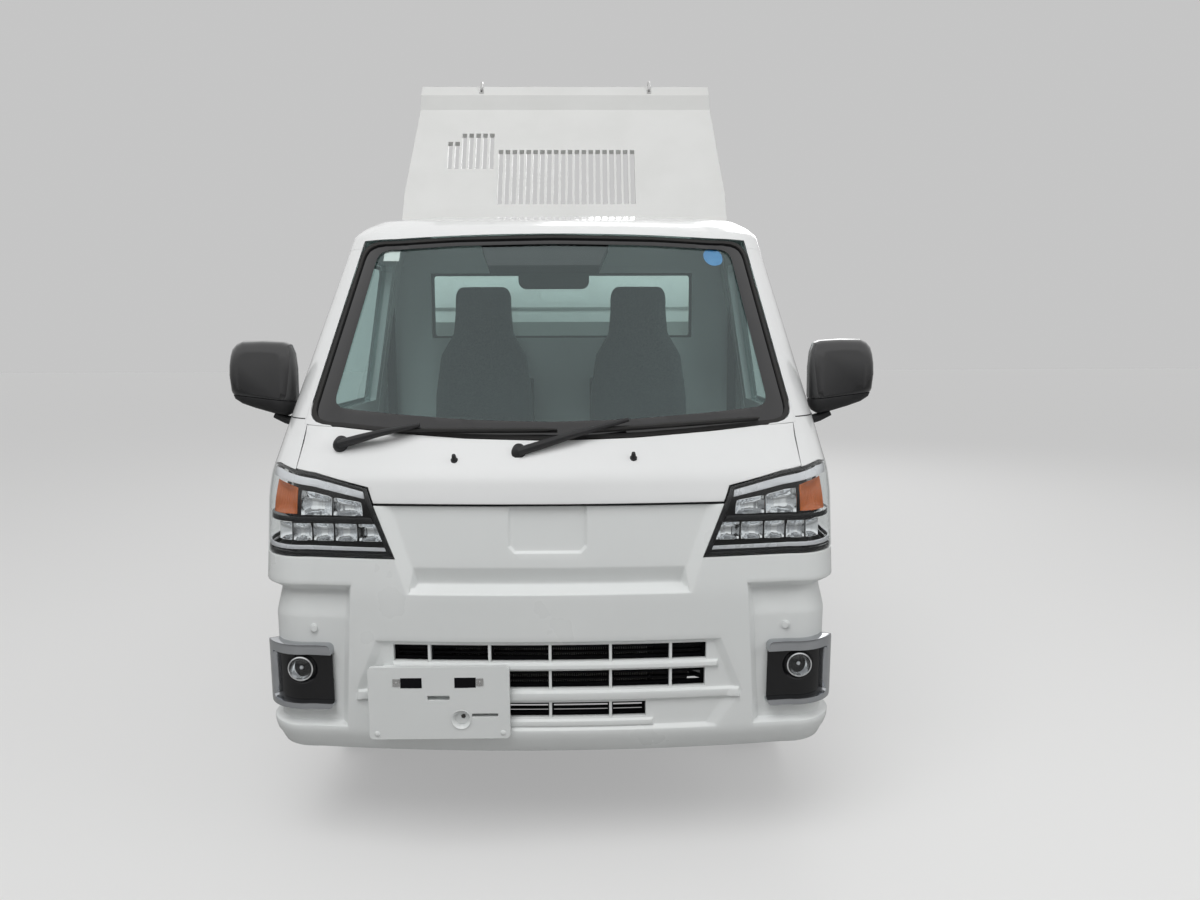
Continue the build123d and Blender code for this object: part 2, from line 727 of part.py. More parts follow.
def make_door(side):
    """Door with its window cut, an outer skin flange all round and a pull handle."""
    skin = ((OUTER_FORM & DOOR_ZONE) - SKIN_FORM) & door_prism(DOOR_GAP)
    body = ((OUTER_FORM & DOOR_ZONE) - INNER_FORM) & door_prism(DOOR_INNER_GAP)
    panel = skin + body
    panel = panel - window_prism(WINDOW_MARGIN)
    groove = box(0, REACH, DOOR_FRONT, DOOR_REAR, 742, 750)
    panel = panel - layer(-20, 4, groove)
    outer = CAB_WIDTH / 2
    cup = box(outer - 18, outer + 20, 1085, 1185, 872, 912)
    panel = panel - cup
    panel = panel + box(outer - 12, outer + 14, 1070, 1200, 886, 900)
    if side < 0:
        panel = mirrored(panel)
    return keep_large(panel)


def make_door_glass(side):
    """Side window."""
    pane = ((GLASS_FACE_FORM & DOOR_ZONE) - GLASS_FORM) & window_prism(WINDOW_MARGIN)
    return keep_large(pane if side > 0 else mirrored(pane))


def make_mirror(side):
    """Door mirror: rounded housing on an arm that stands on the door's front corner."""
    plan = [
        (MIRROR_INNER, MIRROR_REAR),
        (MIRROR_INNER, MIRROR_FRONT + 38),
        (MIRROR_INNER + 24, MIRROR_FRONT + 12),
        (MIRROR_INNER + 56, MIRROR_FRONT),
        (MIRROR_OUTER - 45, MIRROR_FRONT),
        (MIRROR_OUTER - 13, MIRROR_FRONT + 14),
        (MIRROR_OUTER, MIRROR_FRONT + 42),
        (MIRROR_OUTER, MIRROR_REAR),
    ]
    housing = plan_prism(plan, MIRROR_LOW, MIRROR_HIGH)
    housing = chamfer(housing.faces().sort_by(Axis.Z)[-1].edges(), 22)
    housing = chamfer(housing.faces().sort_by(Axis.Z)[0].edges(), 14)
    arm = plan_prism([(708, 444), (708, 402), (738, 392), (790, 388), (800, 424)], 1098, MIRROR_LOW + 10)
    unit = housing + arm
    foot = (OUTER_FORM & box(600, REACH, 300, 500, 1000, 1200))
    unit = unit - foot
    unit = keep_large(unit)
    return [piece if side > 0 else mirrored(piece) for piece in unit]


def make_chassis():
    """Ladder frame: two box rails, their cross members, bed rests, hinge ears and pads."""
    bottom = RAIL_TOP - RAIL_HEIGHT
    half = RAIL_WIDTH / 2
    frame = box(RAIL_X - half, RAIL_X + half, RAIL_FRONT, RAIL_REAR, bottom, RAIL_TOP)
    frame = frame + box(-RAIL_X - half, -RAIL_X + half, RAIL_FRONT, RAIL_REAR, bottom, RAIL_TOP)
    for y, low, high in CROSS_MEMBERS:
        frame = frame + box(-RAIL_X, RAIL_X, y - 22, y + 22, low, high)
    for side in (1, -1):
        x = side * RAIL_X
        # Pads under the cab floor, and rests under the bed
        for y in CAB_PADS:
            frame = frame + box(x - 24, x + 24, y - 30, y + 30, RAIL_TOP - 1, FLOOR_HEIGHT - FLOOR_PLATE)
        for y in BED_RESTS:
            lo, hi = sorted((x - side * half, side * (BED_RAIL_X + 20)))
            frame = frame + box(lo, hi, y - 30, y + 30, RAIL_TOP - 12, BED_RAIL_BOTTOM - GATE_CLEARANCE)
        # Ears beside the rail's end, bored for the bed's hinge pin
        ear = box(x - half, x + half, BED_HINGE_Y - 38, BED_HINGE_Y + 38, bottom, BED_HINGE_Z)
        ear = ear + rod_x(x - half, x + half, BED_HINGE_Y, BED_HINGE_Z, 38)
        frame = frame + ear
        bore = HINGE_PIN_RADIUS + RUN_CLEARANCE
        frame = frame - rod_x(x - half - 5, x + half + 5, BED_HINGE_Y, BED_HINGE_Z, bore)
        # Bracket arms that carry the cab's deck behind the engine
        frame = frame + box(x - half, x + half, 1268, 1308, RAIL_TOP - 1, SEAT_DECK - FLOOR_PLATE)
        # Plates with the tie down eyes, under each end of the rails
        for y, eye in TIE_DOWNS:
            frame = frame + box(x - TIE_PLATE / 2, x + TIE_PLATE / 2, y - 32, y + 32, eye - 28, bottom + 5)
            frame = frame - rod_x(x - 20, x + 20, y, eye, TIE_EYE_RADIUS)
    # Cross tube for the foot of the tipping cylinder
    frame = frame + box(-RAIL_X, RAIL_X, LIFT_FOOT_Y - 100, LIFT_FOOT_Y - 50, LIFT_FOOT_Z + 30, bottom + 24)
    frame = frame + rod_x(-BARREL_RADIUS - 20, BARREL_RADIUS + 20, LIFT_FOOT_Y, LIFT_FOOT_Z, LIFT_PIN_RADIUS)
    for side in (1, -1):
        x0 = side * (BARREL_RADIUS + 14)
        lo, hi = sorted((x0, x0 + side * 12))
        cheek = box(lo, hi, LIFT_FOOT_Y - 60, LIFT_FOOT_Y + 24, LIFT_FOOT_Z - 28, LIFT_FOOT_Z + 50)
        frame = frame + cheek
    return [frame]


def make_engine():
    """Engine, one plain block of its real size under the seats."""
    return [box(-195, 195, 800, ENGINE_REAR, 250, 640)]


def make_driveline():
    """Gearbox behind the engine, and the shaft to the rear axle."""
    front = Plane.XZ.offset(-ENGINE_REAR - RUN_CLEARANCE) * Pos(0, 360) * Rectangle(250, 230)
    rear = Plane.XZ.offset(-GEARBOX_REAR) * Pos(DRIVE_X, 330) * Rectangle(140, 140)
    case = loft([front, rear])
    shaft = bar((DRIVE_X, GEARBOX_REAR - 1, 330), (DRIVE_X, REAR_AXLE - DIFF_NOSE - SHAFT_END_GAP, 285), 26)
    return [case + shaft]


def make_rear_axle():
    """Live axle: differential, tubes, and drums with the hub spigots."""
    tube = AXLE_TUBE_RADIUS
    hub = REAR_TRACK / 2
    profile = [
        (-hub - 24, 0),
        (-hub - 24, HUB_BORE / 2),
        (-hub + 20, HUB_BORE / 2),
        (-hub + 20, DRUM_RADIUS),
        (-hub + 100, DRUM_RADIUS),
        (-hub + 112, tube),
        (DRIVE_X - 120, tube),
        (DRIVE_X - 80, 80),
        (DRIVE_X - 45, 114),
        (DRIVE_X + 45, 114),
        (DRIVE_X + 80, 80),
        (DRIVE_X + 120, tube),
        (hub - 112, tube),
        (hub - 100, DRUM_RADIUS),
        (hub - 20, DRUM_RADIUS),
        (hub - 20, HUB_BORE / 2),
        (hub + 24, HUB_BORE / 2),
        (hub + 24, 0),
    ]
    axle = turned(profile, 0, REAR_AXLE, TYRE_RADIUS)
    axle = axle + rod_y(DRIVE_X, REAR_AXLE - DIFF_NOSE, REAR_AXLE - 60, TYRE_RADIUS + 14, 48)
    return [axle]


def make_leaf_springs():
    """Leaf packs over the axle, with their hangers, axle seats and dampers."""
    y0 = REAR_AXLE - SPRING_LENGTH / 2
    y1 = REAR_AXLE + SPRING_LENGTH / 2
    low = TYRE_RADIUS + AXLE_TUBE_RADIUS + 6
    high = RAIL_TOP - RAIL_HEIGHT + 20
    edges = [
        ThreePointArc((SPRING_X, y0, high), (SPRING_X, REAR_AXLE, low), (SPRING_X, y1, high)),
        Line((SPRING_X, y1, high), (SPRING_X, y1, high + 10)),
        ThreePointArc((SPRING_X, y1, high + 10), (SPRING_X, REAR_AXLE, low + SPRING_STACK),
                      (SPRING_X, y0, high + 10)),
        Line((SPRING_X, y0, high + 10), (SPRING_X, y0, high)),
    ]
    leaf = extrude(make_face(edges), amount=SPRING_WIDTH / 2, dir=(1, 0, 0), both=True)
    rail_face = RAIL_X + RAIL_WIDTH / 2
    for y in (y0, y1):
        leaf = leaf + rod_x(rail_face + RUN_CLEARANCE, SPRING_X + SPRING_WIDTH / 2 + 6, y, high + 6, 22)
    leaf = leaf + box(SPRING_X - 30, SPRING_X + 30, REAR_AXLE - 55, REAR_AXLE + 55,
                      TYRE_RADIUS + AXLE_TUBE_RADIUS - 2, low + 6)
    leaf = leaf - rod_x(0, REACH, REAR_AXLE, TYRE_RADIUS, AXLE_TUBE_RADIUS + RUN_CLEARANCE)
    return both(leaf)


def make_front_arms():
    """Lower arms that carry the knuckles, and the steering rack between the rails."""
    low_x, low_z = KINGPIN_LOW
    rail_bottom = RAIL_TOP - RAIL_HEIGHT
    outline = [(RAIL_X - 10, 690), (low_x, FRONT_AXLE - 22), (low_x, FRONT_AXLE + 22), (RAIL_X - 10, 960)]
    arm = plan_prism(outline, low_z - 24, low_z - 6)
    arm = arm - plan_prism([(400, 735), (520, 748), (400, 860)], low_z - 40, low_z)
    arm = arm + rod_z(low_x, FRONT_AXLE, low_z - 24, low_z + 4, 26)
    arm = arm - Pos(low_x, FRONT_AXLE, low_z) * Sphere(BALL_RADIUS + RUN_CLEARANCE)
    for y0, y1 in ((692, 735), (905, 950)):
        arm = arm + box(RAIL_X - 25, RAIL_X + 25, y0, y1, low_z - 24, rail_bottom - RUN_CLEARANCE)
    rack = rod_x(-RAIL_X + 20, RAIL_X - 20, 915 + 10, low_z + 30, 26)
    return both(arm) + [rack]


def kingpin_plane(side):
    """Plane at the lower ball joint whose normal runs up the kingpin's line."""
    low_x, low_z = KINGPIN_LOW
    high_x, high_z = KINGPIN_HIGH
    return Plane(
        origin=(side * low_x, FRONT_AXLE, low_z),
        x_dir=(0, 1, 0),
        z_dir=(side * (high_x - low_x), 0, high_z - low_z),
    )


def make_knuckle(side):
    """Knuckle with its stub axle, and the strut and spring above it."""
    plane = kingpin_plane(side)
    ball = plane * (Sphere(BALL_RADIUS) + Pos(0, 0, 12) * Cylinder(8, 24))
    post = plane * Pos(0, 0, 64) * Cylinder(22, 92)
    strut = plane * Pos(0, 0, 300) * Cylinder(18, 400)
    spring = plane * Pos(0, 0, 440) * Cylinder(46, 120)
    lo, hi = sorted((side * (strut_x(TYRE_RADIUS) - 30), side * (FRONT_TRACK / 2 - 20)))
    carrier = rod_x(lo, hi, FRONT_AXLE, TYRE_RADIUS, 62)
    lo, hi = sorted((side * (FRONT_TRACK / 2 - 30), side * (FRONT_TRACK / 2 + 24)))
    stub = rod_x(lo, hi, FRONT_AXLE, TYRE_RADIUS, HUB_BORE / 2)
    return [ball + post + strut + spring + carrier + stub]


def make_rim(side, track, station):
    """Pressed steel wheel: barrel, flanges, vented disc and hub dish."""
    half = RIM_WIDTH / 2
    profile = [
        (-half, RIM_FLANGE_RADIUS),
        (-half + RIM_WALL, RIM_FLANGE_RADIUS),
        (-half + RIM_WALL, BEAD_RADIUS),
        (-20, BEAD_RADIUS - 14),
        (20, BEAD_RADIUS - 14),
        (half - RIM_WALL, BEAD_RADIUS),
        (half - RIM_WALL, RIM_FLANGE_RADIUS),
        (half, RIM_FLANGE_RADIUS),
        (half, BEAD_RADIUS - RIM_WALL),
        (24, BEAD_RADIUS - 14 - RIM_WALL),
        (32, BEAD_RADIUS - 32),
        (36, VENT_CIRCLE + VENT_HEIGHT / 2 + 4),
        (36, VENT_CIRCLE - VENT_HEIGHT / 2 - 4),
        (10, 70),
        (10, HUB_BORE / 2 + RUN_CLEARANCE),
        (0, HUB_BORE / 2 + RUN_CLEARANCE),
        (0, 74),
        (28, VENT_CIRCLE - VENT_HEIGHT / 2 - 4),
        (28, VENT_CIRCLE + VENT_HEIGHT / 2 + 4),
        (22, BEAD_RADIUS - 34),
        (12, BEAD_RADIUS - 14 - RIM_WALL),
        (-20, BEAD_RADIUS - 14 - RIM_WALL),
        (-half, BEAD_RADIUS - RIM_WALL),
    ]
    profile = [(side * offset, radius) for offset, radius in profile]
    rim = turned(profile, 0, 0, 0)
    x0, x1 = sorted((0, side * 60))
    vents = []
    for index in range(WHEEL_VENTS):
        slot = box(x0, x1, -VENT_LENGTH / 2, VENT_LENGTH / 2, VENT_CIRCLE - VENT_HEIGHT / 2,
                   VENT_CIRCLE + VENT_HEIGHT / 2)
        vents.append(Rot((index + 0.5) * 360 / WHEEL_VENTS, 0, 0) * slot)
    rim = rim - vents
    return [Pos(side * track / 2, station, TYRE_RADIUS) * rim]


def make_tyre(side, track, station):
    """Tyre with rounded shoulders and a hollow casing."""
    half = TYRE_WIDTH / 2
    shoulder = TYRE_SHOULDER
    profile = [
        (-RIM_WIDTH / 2 + RIM_WALL + RUN_CLEARANCE, BEAD_RADIUS + RUN_CLEARANCE),
        (-RIM_WIDTH / 2 + RIM_WALL + RUN_CLEARANCE, RIM_FLANGE_RADIUS + 2),
        (-half, 205),
        (-half + 5, TYRE_RADIUS - shoulder),
        (-half + shoulder, TYRE_RADIUS),
        (half - shoulder, TYRE_RADIUS),
        (half - 5, TYRE_RADIUS - shoulder),
        (half, 205),
        (RIM_WIDTH / 2 - RIM_WALL - RUN_CLEARANCE, RIM_FLANGE_RADIUS + 2),
        (RIM_WIDTH / 2 - RIM_WALL - RUN_CLEARANCE, BEAD_RADIUS + RUN_CLEARANCE),
    ]
    return [turned(profile, side * track / 2, station, TYRE_RADIUS)]


def make_exhaust():
    """Silencer beside the left rail, with its pipe from the engine."""
    can = rod_y(210, 1900, 2300, 295, 58)
    pipe = rod_y(170, ENGINE_REAR + RUN_CLEARANCE, 1500, 295, 20)
    pipe = pipe + bar((170, 1490, 295), (210, 1901, 295), 20)
    pipe = pipe + rod_y(210, 2299, 2420, 295, 18)
    hanger = box(262, RAIL_X - RAIL_WIDTH / 2 - RUN_CLEARANCE, 2060, 2100, 300, 312)
    rail_side = RAIL_X - RAIL_WIDTH / 2
    hanger = hanger + box(rail_side - 12, rail_side - RUN_CLEARANCE, 2060, 2100, 300, 420)
    return [can + pipe + hanger]


def make_fuel_tank():
    """Fuel tank outside the right rail."""
    tank = box(-560, -RAIL_X - RAIL_WIDTH / 2 - RUN_CLEARANCE, 1580, 2060, 280, RAIL_TOP - 10)
    return [chamfer(tank.edges().filter_by(Axis.Y), 30)]


def make_hydraulic_unit():
    """Pump and oil tank of the tipping gear, with the battery, outside the left rail."""
    start = RAIL_X + RAIL_WIDTH / 2 + RUN_CLEARANCE
    unit = box(start, 590, 1580, 1800, 290, RAIL_TOP - 10)
    unit = unit + rod_y(470, 1799, 1960, 380, 55)
    battery = box(start, 560, 1985, 2060, 300, 470)
    return [unit, battery]


def make_mudguards():
    """Rear mudguards on stays from the rails, with flaps behind the wheels."""
    y = REAR_AXLE
    x0 = REAR_TRACK / 2 - 80
    x1 = REAR_TRACK / 2 + 82
    shell = rod_x(x0, x1, y, TYRE_RADIUS, MUDGUARD_RADIUS)
    shell = shell - rod_x(x0 - 1, x1 + 1, y, TYRE_RADIUS, MUDGUARD_RADIUS - 5)
    shell = shell & box(0, REACH, y - 400, y + 400, TYRE_RADIUS + 60, 800)
    stay_y = sqrt(MUDGUARD_RADIUS ** 2 - (RAIL_TOP - 30 - TYRE_RADIUS) ** 2)
    start = RAIL_X + RAIL_WIDTH / 2 + RUN_CLEARANCE
    for direction in (1, -1):
        shell = shell + box(start, x0 + 20, y + direction * stay_y - 12, y + direction * stay_y + 12,
                            RAIL_TOP - 42, RAIL_TOP - 18)
    return both(shell)


def make_rear_lamps():
    """Lamp bar under the bed's tail, with a lamp at each end and a plate holder."""
    piece = box(-620, 620, RAIL_REAR + RUN_CLEARANCE, 3222, 372, 420)
    for side in (1, -1):
        lo, hi = sorted((side * 470, side * 690))
        piece = piece + box(lo, hi, 3221, 3262, 345, 428)
    piece = piece + box(-170, 170, 3221, 3226, 250, 415)
    return [piece]


def bed_half_width():
    """Half the width of the bed's floor, inside the gates' hinge line."""
    return BED_WIDTH / 2 - 16


def tipped(shapes):
    """Turn lowered pieces about the bed's hinge to the tip that the truck stands with."""
    axis = Axis((0, BED_HINGE_Y, BED_HINGE_Z), (-1, 0, 0))
    return [shape.rotate(axis, BED_TIP) for shape in shapes]


def make_bed_floor():
    """Bed floor on cross bearers and two long members, with hinge lugs, ears and rear posts."""
    half = bed_half_width()
    plate_bottom = BED_FLOOR - BED_PLATE
    bearer_bottom = plate_bottom - CROSS_BEARER
    floor = box(-half, half, BED_FRONT, BED_REAR, plate_bottom, BED_FLOOR)
    for side in (1, -1):
        lo, hi = sorted((side * (half - 30), side * half))
        floor = floor + box(lo, hi, BED_FRONT, BED_REAR, bearer_bottom, plate_bottom + 1)
        x = side * BED_RAIL_X
        floor = floor + box(x - 25, x + 25, BED_FRONT, BED_HINGE_Y + 20, BED_RAIL_BOTTOM, plate_bottom + 1)
        lug = box(x - 25, x + 25, BED_HINGE_Y - 34, BED_HINGE_Y + 34, BED_HINGE_Z, BED_RAIL_BOTTOM + 2)
        floor = floor + lug + rod_x(x - 25, x + 25, BED_HINGE_Y, BED_HINGE_Z, 34)
        lo, hi = sorted((side * (RAIL_X - RAIL_WIDTH / 2 - 6), side * (BED_RAIL_X - 10)))
        floor = floor + rod_x(lo, hi, BED_HINGE_Y, BED_HINGE_Z, HINGE_PIN_RADIUS)
        # Ears that hold the eye of the tipping cylinder's rod
        x0 = side * LIFT_EAR_X
        lo, hi = sorted((x0, x0 + side * 12))
        ear = box(lo, hi, LIFT_EYE_Y - 40, LIFT_EYE_Y + 40, LIFT_EYE_Z - 26, plate_bottom + 1)
        floor = floor + ear
        # Rear corner posts, which carry the tailgate's hinge pins
        lo, hi = sorted((side * (half - POST), side * half))
        floor = floor + box(lo, hi, BED_REAR - POST - 22, BED_REAR, BED_FLOOR - 1,
                            BED_FLOOR + GATE_HEIGHT + 18)
        # Ears and pins of the side gate's hinges
        axis_x = half + GATE_AXIS_OUT
        for y in GATE_HINGES:
            for end in (y - 25 - RUN_CLEARANCE - 8, y + 25 + RUN_CLEARANCE):
                lo, hi = sorted((side * (half - 1), side * (axis_x + GATE_KNUCKLE - 1)))
                floor = floor + box(lo, hi, end, end + 8, GATE_AXIS_Z - GATE_KNUCKLE,
                                    GATE_AXIS_Z + GATE_KNUCKLE)
            floor = floor + rod_y(side * axis_x, y - 30, y + 30, GATE_AXIS_Z, GATE_PIN_RADIUS)
    for y in CROSS_BEARERS:
        floor = floor + box(-half, half, y - 20, y + 20, bearer_bottom, plate_bottom + 1)
    for side in (1, -1):
        lo, hi = sorted((side * (half - POST + 12), side * half))
        pin_y = BED_REAR - 16
        floor = floor - rod_x(lo - 40, hi + 40, pin_y, GATE_PIN_HEIGHT, TAIL_PIN_RADIUS + RUN_CLEARANCE)
    return tipped([floor])


def make_headboard():
    """Headboard with its slots, tapered shoulders, forward leaning hood and two rope hooks."""
    half_low = bed_half_width()
    kink = HEADBOARD_FOOT + HEADBOARD_KINK
    top = HEADBOARD_FOOT + HEADBOARD_PANEL_TOP
    k_half = HEADBOARD_KINK_WIDTH / 2
    t_half = HEADBOARD_TOP_WIDTH / 2
    outline = [(-k_half, BED_FLOOR + RUN_CLEARANCE), (k_half, BED_FLOOR + RUN_CLEARANCE), (k_half, kink),
               (t_half, top + 120),
               (-t_half, top + 120), (-k_half, kink)]
    section = [
        (BED_FRONT, BED_FLOOR + RUN_CLEARANCE),
        (BED_FRONT, top),
        (BED_FRONT - HOOD_LEAN, top + HOOD_RISE),
        (BED_FRONT - HOOD_LEAN, top + HOOD_RISE + LIP_RISE),
        (BED_FRONT - HOOD_LEAN + HEADBOARD_WALL, top + HOOD_RISE + LIP_RISE),
        (BED_FRONT - HOOD_LEAN + HEADBOARD_WALL, top + HOOD_RISE + 10),
        (BED_FRONT + HEADBOARD_WALL, top + 10),
        (BED_FRONT + HEADBOARD_WALL, BED_FLOOR + RUN_CLEARANCE),
    ]
    board = side_prism(section, -half_low, half_low) & front_prism(outline, 1200, 1600)
    for centre, low, high in headboard_slots():
        board = board - box(centre - SLOT_WIDTH / 2, centre + SLOT_WIDTH / 2, 1300, 1500,
                            HEADBOARD_FOOT + low, HEADBOARD_FOOT + high)
    crest = top + HOOD_RISE + LIP_RISE
    for x in (-392, 392):
        y = BED_FRONT - HOOD_LEAN + HEADBOARD_WALL / 2
        board = board + rod_z(x, y, crest - 1, crest + 26, 5) + rod_y(x, y - 14, y + 5, crest + 26, 5)
    return tipped([board])


def headboard_slots():
    """Each slot's centre, lower and upper edge, measured up from the board's foot."""
    slots = []
    for index in range(7):
        high = 916 if index < 2 else 963
        slots.append((-528.5 + index * SLOT_PITCH, 764, high))
    for index in range(20):
        slots.append((-295 + index * SLOT_PITCH, 571, 869))
    return slots


def make_side_gate(side):
    """Drop side with pressed ribs, a rolled top edge and three hinge leaves."""
    half = bed_half_width()
    axis_x = half + GATE_AXIS_OUT
    outer = half - 6
    y0 = BED_FRONT + HEADBOARD_WALL + GATE_CLEARANCE
    y1 = BED_REAR - POST - 22 - GATE_CLEARANCE
    gate = box(outer - GATE_WALL, outer, y0, y1, BED_FLOOR + GATE_CLEARANCE, BED_FLOOR + GATE_HEIGHT)
    gate = gate + box(outer - GATE_WALL - 4, outer + 6, y0, y1, BED_FLOOR + GATE_HEIGHT - 30,
                      BED_FLOOR + GATE_HEIGHT)
    for z in (BED_FLOOR + 60, BED_FLOOR + 130, BED_FLOOR + 200):
        gate = gate - box(outer - 10, outer + 1, y0 + 40, y1 - 40, z, z + 34)
    for y in GATE_HINGES:
        leaf = box(axis_x - 3, axis_x + 3, y - 25, y + 25, GATE_AXIS_Z, BED_FLOOR + 40)
        foot = box(outer - 2, axis_x + 2, y - 25, y + 25, BED_FLOOR + GATE_CLEARANCE, BED_FLOOR + 40)
        gate = gate + leaf + foot + rod_y(axis_x, y - 25, y + 25, GATE_AXIS_Z, GATE_KNUCKLE)
        gate = gate - rod_y(axis_x, y - 26, y + 26, GATE_AXIS_Z, GATE_PIN_RADIUS + RUN_CLEARANCE)
    gate = [gate if side > 0 else mirrored(gate)]
    return tipped(gate)


def make_tailgate():
    """Tailgate hung from two top pins, with pressed ribs."""
    half = bed_half_width() - POST - GATE_CLEARANCE
    y1 = BED_REAR - 4
    gate = box(-half, half, y1 - GATE_WALL, y1, BED_FLOOR + GATE_CLEARANCE, GATE_PIN_HEIGHT + 10)
    for z in (BED_FLOOR + 50, BED_FLOOR + 125, BED_FLOOR + 200):
        gate = gate - box(-half + 50, half - 50, y1 - 10, y1 + 5, z, z + 40)
    pin_y = BED_REAR - 16
    for side in (1, -1):
        lo, hi = sorted((side * (half - 20), side * (half + GATE_CLEARANCE + POST - 4)))
        gate = gate + rod_x(lo, hi, pin_y, GATE_PIN_HEIGHT, TAIL_PIN_RADIUS)
    return tipped([gate])


def lift_points():
    """Foot and eye of the tipping cylinder as (station, height), with the bed as it stands."""
    tip = radians(BED_TIP)
    arm_y = LIFT_EYE_Y - BED_HINGE_Y
    arm_z = LIFT_EYE_Z - BED_HINGE_Z
    eye_y = BED_HINGE_Y + arm_y * cos(tip) + arm_z * sin(tip)
    eye_z = BED_HINGE_Z + arm_z * cos(tip) - arm_y * sin(tip)
    return (LIFT_FOOT_Y, LIFT_FOOT_Z), (eye_y, eye_z)


def along_lift(distance):
    """Point this far from the cylinder's foot towards its eye."""
    (foot_y, foot_z), (eye_y, eye_z) = lift_points()
    span = hypot(eye_y - foot_y, eye_z - foot_z)
    share = distance / span
    return (0, foot_y + (eye_y - foot_y) * share, foot_z + (eye_z - foot_z) * share)


def make_lift_barrel():
    """Cylinder barrel on its foot pin."""
    barrel = bar(along_lift(30), along_lift(BARREL_LENGTH), BARREL_RADIUS)
    barrel = barrel - bar(along_lift(70), along_lift(BARREL_LENGTH + 10), ROD_RADIUS + RUN_CLEARANCE)
    lug = rod_x(-30, 30, LIFT_FOOT_Y, LIFT_FOOT_Z, 24) + bar(along_lift(0), along_lift(40), 20)
    lug = lug - rod_x(-40, 40, LIFT_FOOT_Y, LIFT_FOOT_Z, LIFT_PIN_RADIUS + RUN_CLEARANCE)
    return [barrel + lug]


def make_lift_rod():
    """Piston rod with the eye that meets the bed's ears."""
    (foot_y, foot_z), (eye_y, eye_z) = lift_points()
    span = hypot(eye_y - foot_y, eye_z - foot_z)
    rod = bar(along_lift(430), along_lift(span), ROD_RADIUS)
    return [rod + rod_x(-LIFT_EAR_X + RUN_CLEARANCE, LIFT_EAR_X - RUN_CLEARANCE, eye_y, eye_z, 24)]


def collect():
    """Every node's solids, by name."""
    nodes = {
        "cab_floor": make_cab_floor(),
        "cab_rear_wall": make_rear_wall(),
        "cab_roof": make_roof(),
        "side_frames": make_side_frames(),
        "front_panel": make_front_panel(),
        "bumper": make_bumper(),
        "grille": make_grille(),
        "plate_bracket": make_plate_bracket(),
        "cab_glass": make_cab_glass(),
        "headlamps": make_headlamps(),
        "fog_lamps": make_fog_lamps(),
        "wipers": make_wipers(),
        "dashboard": make_dashboard(),
        "seats": make_seats(),
        "steering_wheel": make_steering_wheel(),
        "chassis_frame": make_chassis(),
        "engine_block": make_engine(),
        "driveline": make_driveline(),
        "rear_axle": make_rear_axle(),
        "leaf_springs": make_leaf_springs(),
        "front_arms": make_front_arms(),
        "exhaust": make_exhaust(),
        "fuel_tank": make_fuel_tank(),
        "hydraulic_unit": make_hydraulic_unit(),
        "mudguards": make_mudguards(),
        "rear_lamps": make_rear_lamps(),
        "bed_floor": make_bed_floor(),
        "bed_headboard": make_headboard(),
        "tailgate": make_tailgate(),
        "lift_barrel": make_lift_barrel(),
        "lift_rod": make_lift_rod(),
    }
    for name, side in (("left", 1), ("right", -1)):
        nodes["door_" + name] = make_door(side)
        nodes["door_glass_" + name] = make_door_glass(side)
        nodes["mirror_" + name] = make_mirror(side)
        nodes["knuckle_" + name] = make_knuckle(side)
        nodes["side_gate_" + name] = make_side_gate(side)
        for end, track, station in (("front", FRONT_TRACK, FRONT_AXLE), ("rear", REAR_TRACK, REAR_AXLE)):
            nodes["rim_" + end + "_" + name] = make_rim(side, track, station)
            nodes["tyre_" + end + "_" + name] = make_tyre(side, track, station)
    return nodes


NODES = collect()
BOXES = [Compound(solids).bounding_box() for solids in NODES.values()]
FRONTMOST = min(box_.min.Y for box_ in BOXES)
REARMOST = max(box_.max.Y for box_ in BOXES)
ORIGIN_STATION = (FRONTMOST + REARMOST) / 2

for node_name, solids in NODES.items():
    shape = solids[0] if len(solids) == 1 else Compound(solids)
    export_step(shape.moved(Location((0, -ORIGIN_STATION, 0))), "parts/" + node_name + ".step")

print("nodes", len(NODES), "origin station", round(ORIGIN_STATION, 3))
print("length", round(REARMOST - FRONTMOST, 1), "height", round(max(box_.max.Z for box_ in BOXES), 1))
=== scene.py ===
# %% [markdown]
# # A small tipper truck, dressed for its portrait
#
# The construction of the truck is already decided: its pieces, sizes, hinges and wheels come in as a
# fixed frame. This notebook adds what the eye reads first: paint, glass, lamps, rubber, trim and
# cloth. Nothing of the frame is moved. Where a plain solid isn't enough, a modelled piece takes its
# place and rides on the same body, so that it follows every door, gate and wheel.

# %% Load the frame
import math

import bmesh
import bpy
from mathutils import Matrix, Vector


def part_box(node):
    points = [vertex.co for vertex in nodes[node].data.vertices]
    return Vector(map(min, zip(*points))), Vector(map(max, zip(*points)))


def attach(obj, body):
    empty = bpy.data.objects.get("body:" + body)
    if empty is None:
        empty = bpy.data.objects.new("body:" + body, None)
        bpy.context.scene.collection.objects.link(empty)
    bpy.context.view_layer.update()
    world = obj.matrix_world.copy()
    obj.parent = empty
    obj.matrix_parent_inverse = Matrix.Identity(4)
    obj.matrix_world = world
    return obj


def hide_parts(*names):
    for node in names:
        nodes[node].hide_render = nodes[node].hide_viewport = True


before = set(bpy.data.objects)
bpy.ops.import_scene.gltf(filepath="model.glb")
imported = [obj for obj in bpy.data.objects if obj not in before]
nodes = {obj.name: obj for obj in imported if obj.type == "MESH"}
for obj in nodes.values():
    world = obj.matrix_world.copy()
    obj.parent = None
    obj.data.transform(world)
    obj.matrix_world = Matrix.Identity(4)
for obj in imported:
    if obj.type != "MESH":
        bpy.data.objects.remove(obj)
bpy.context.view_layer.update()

# %% [markdown]
# ## Where things are
#
# All sizes below are written in millimetres from the front of the bumper, as a body shop would give
# them: x across, the station along the truck, and the height. One function turns such a point into
# the frame's metres. The frame has its origin midway along the truck, so the bumper's own box says
# where station 0 lies.

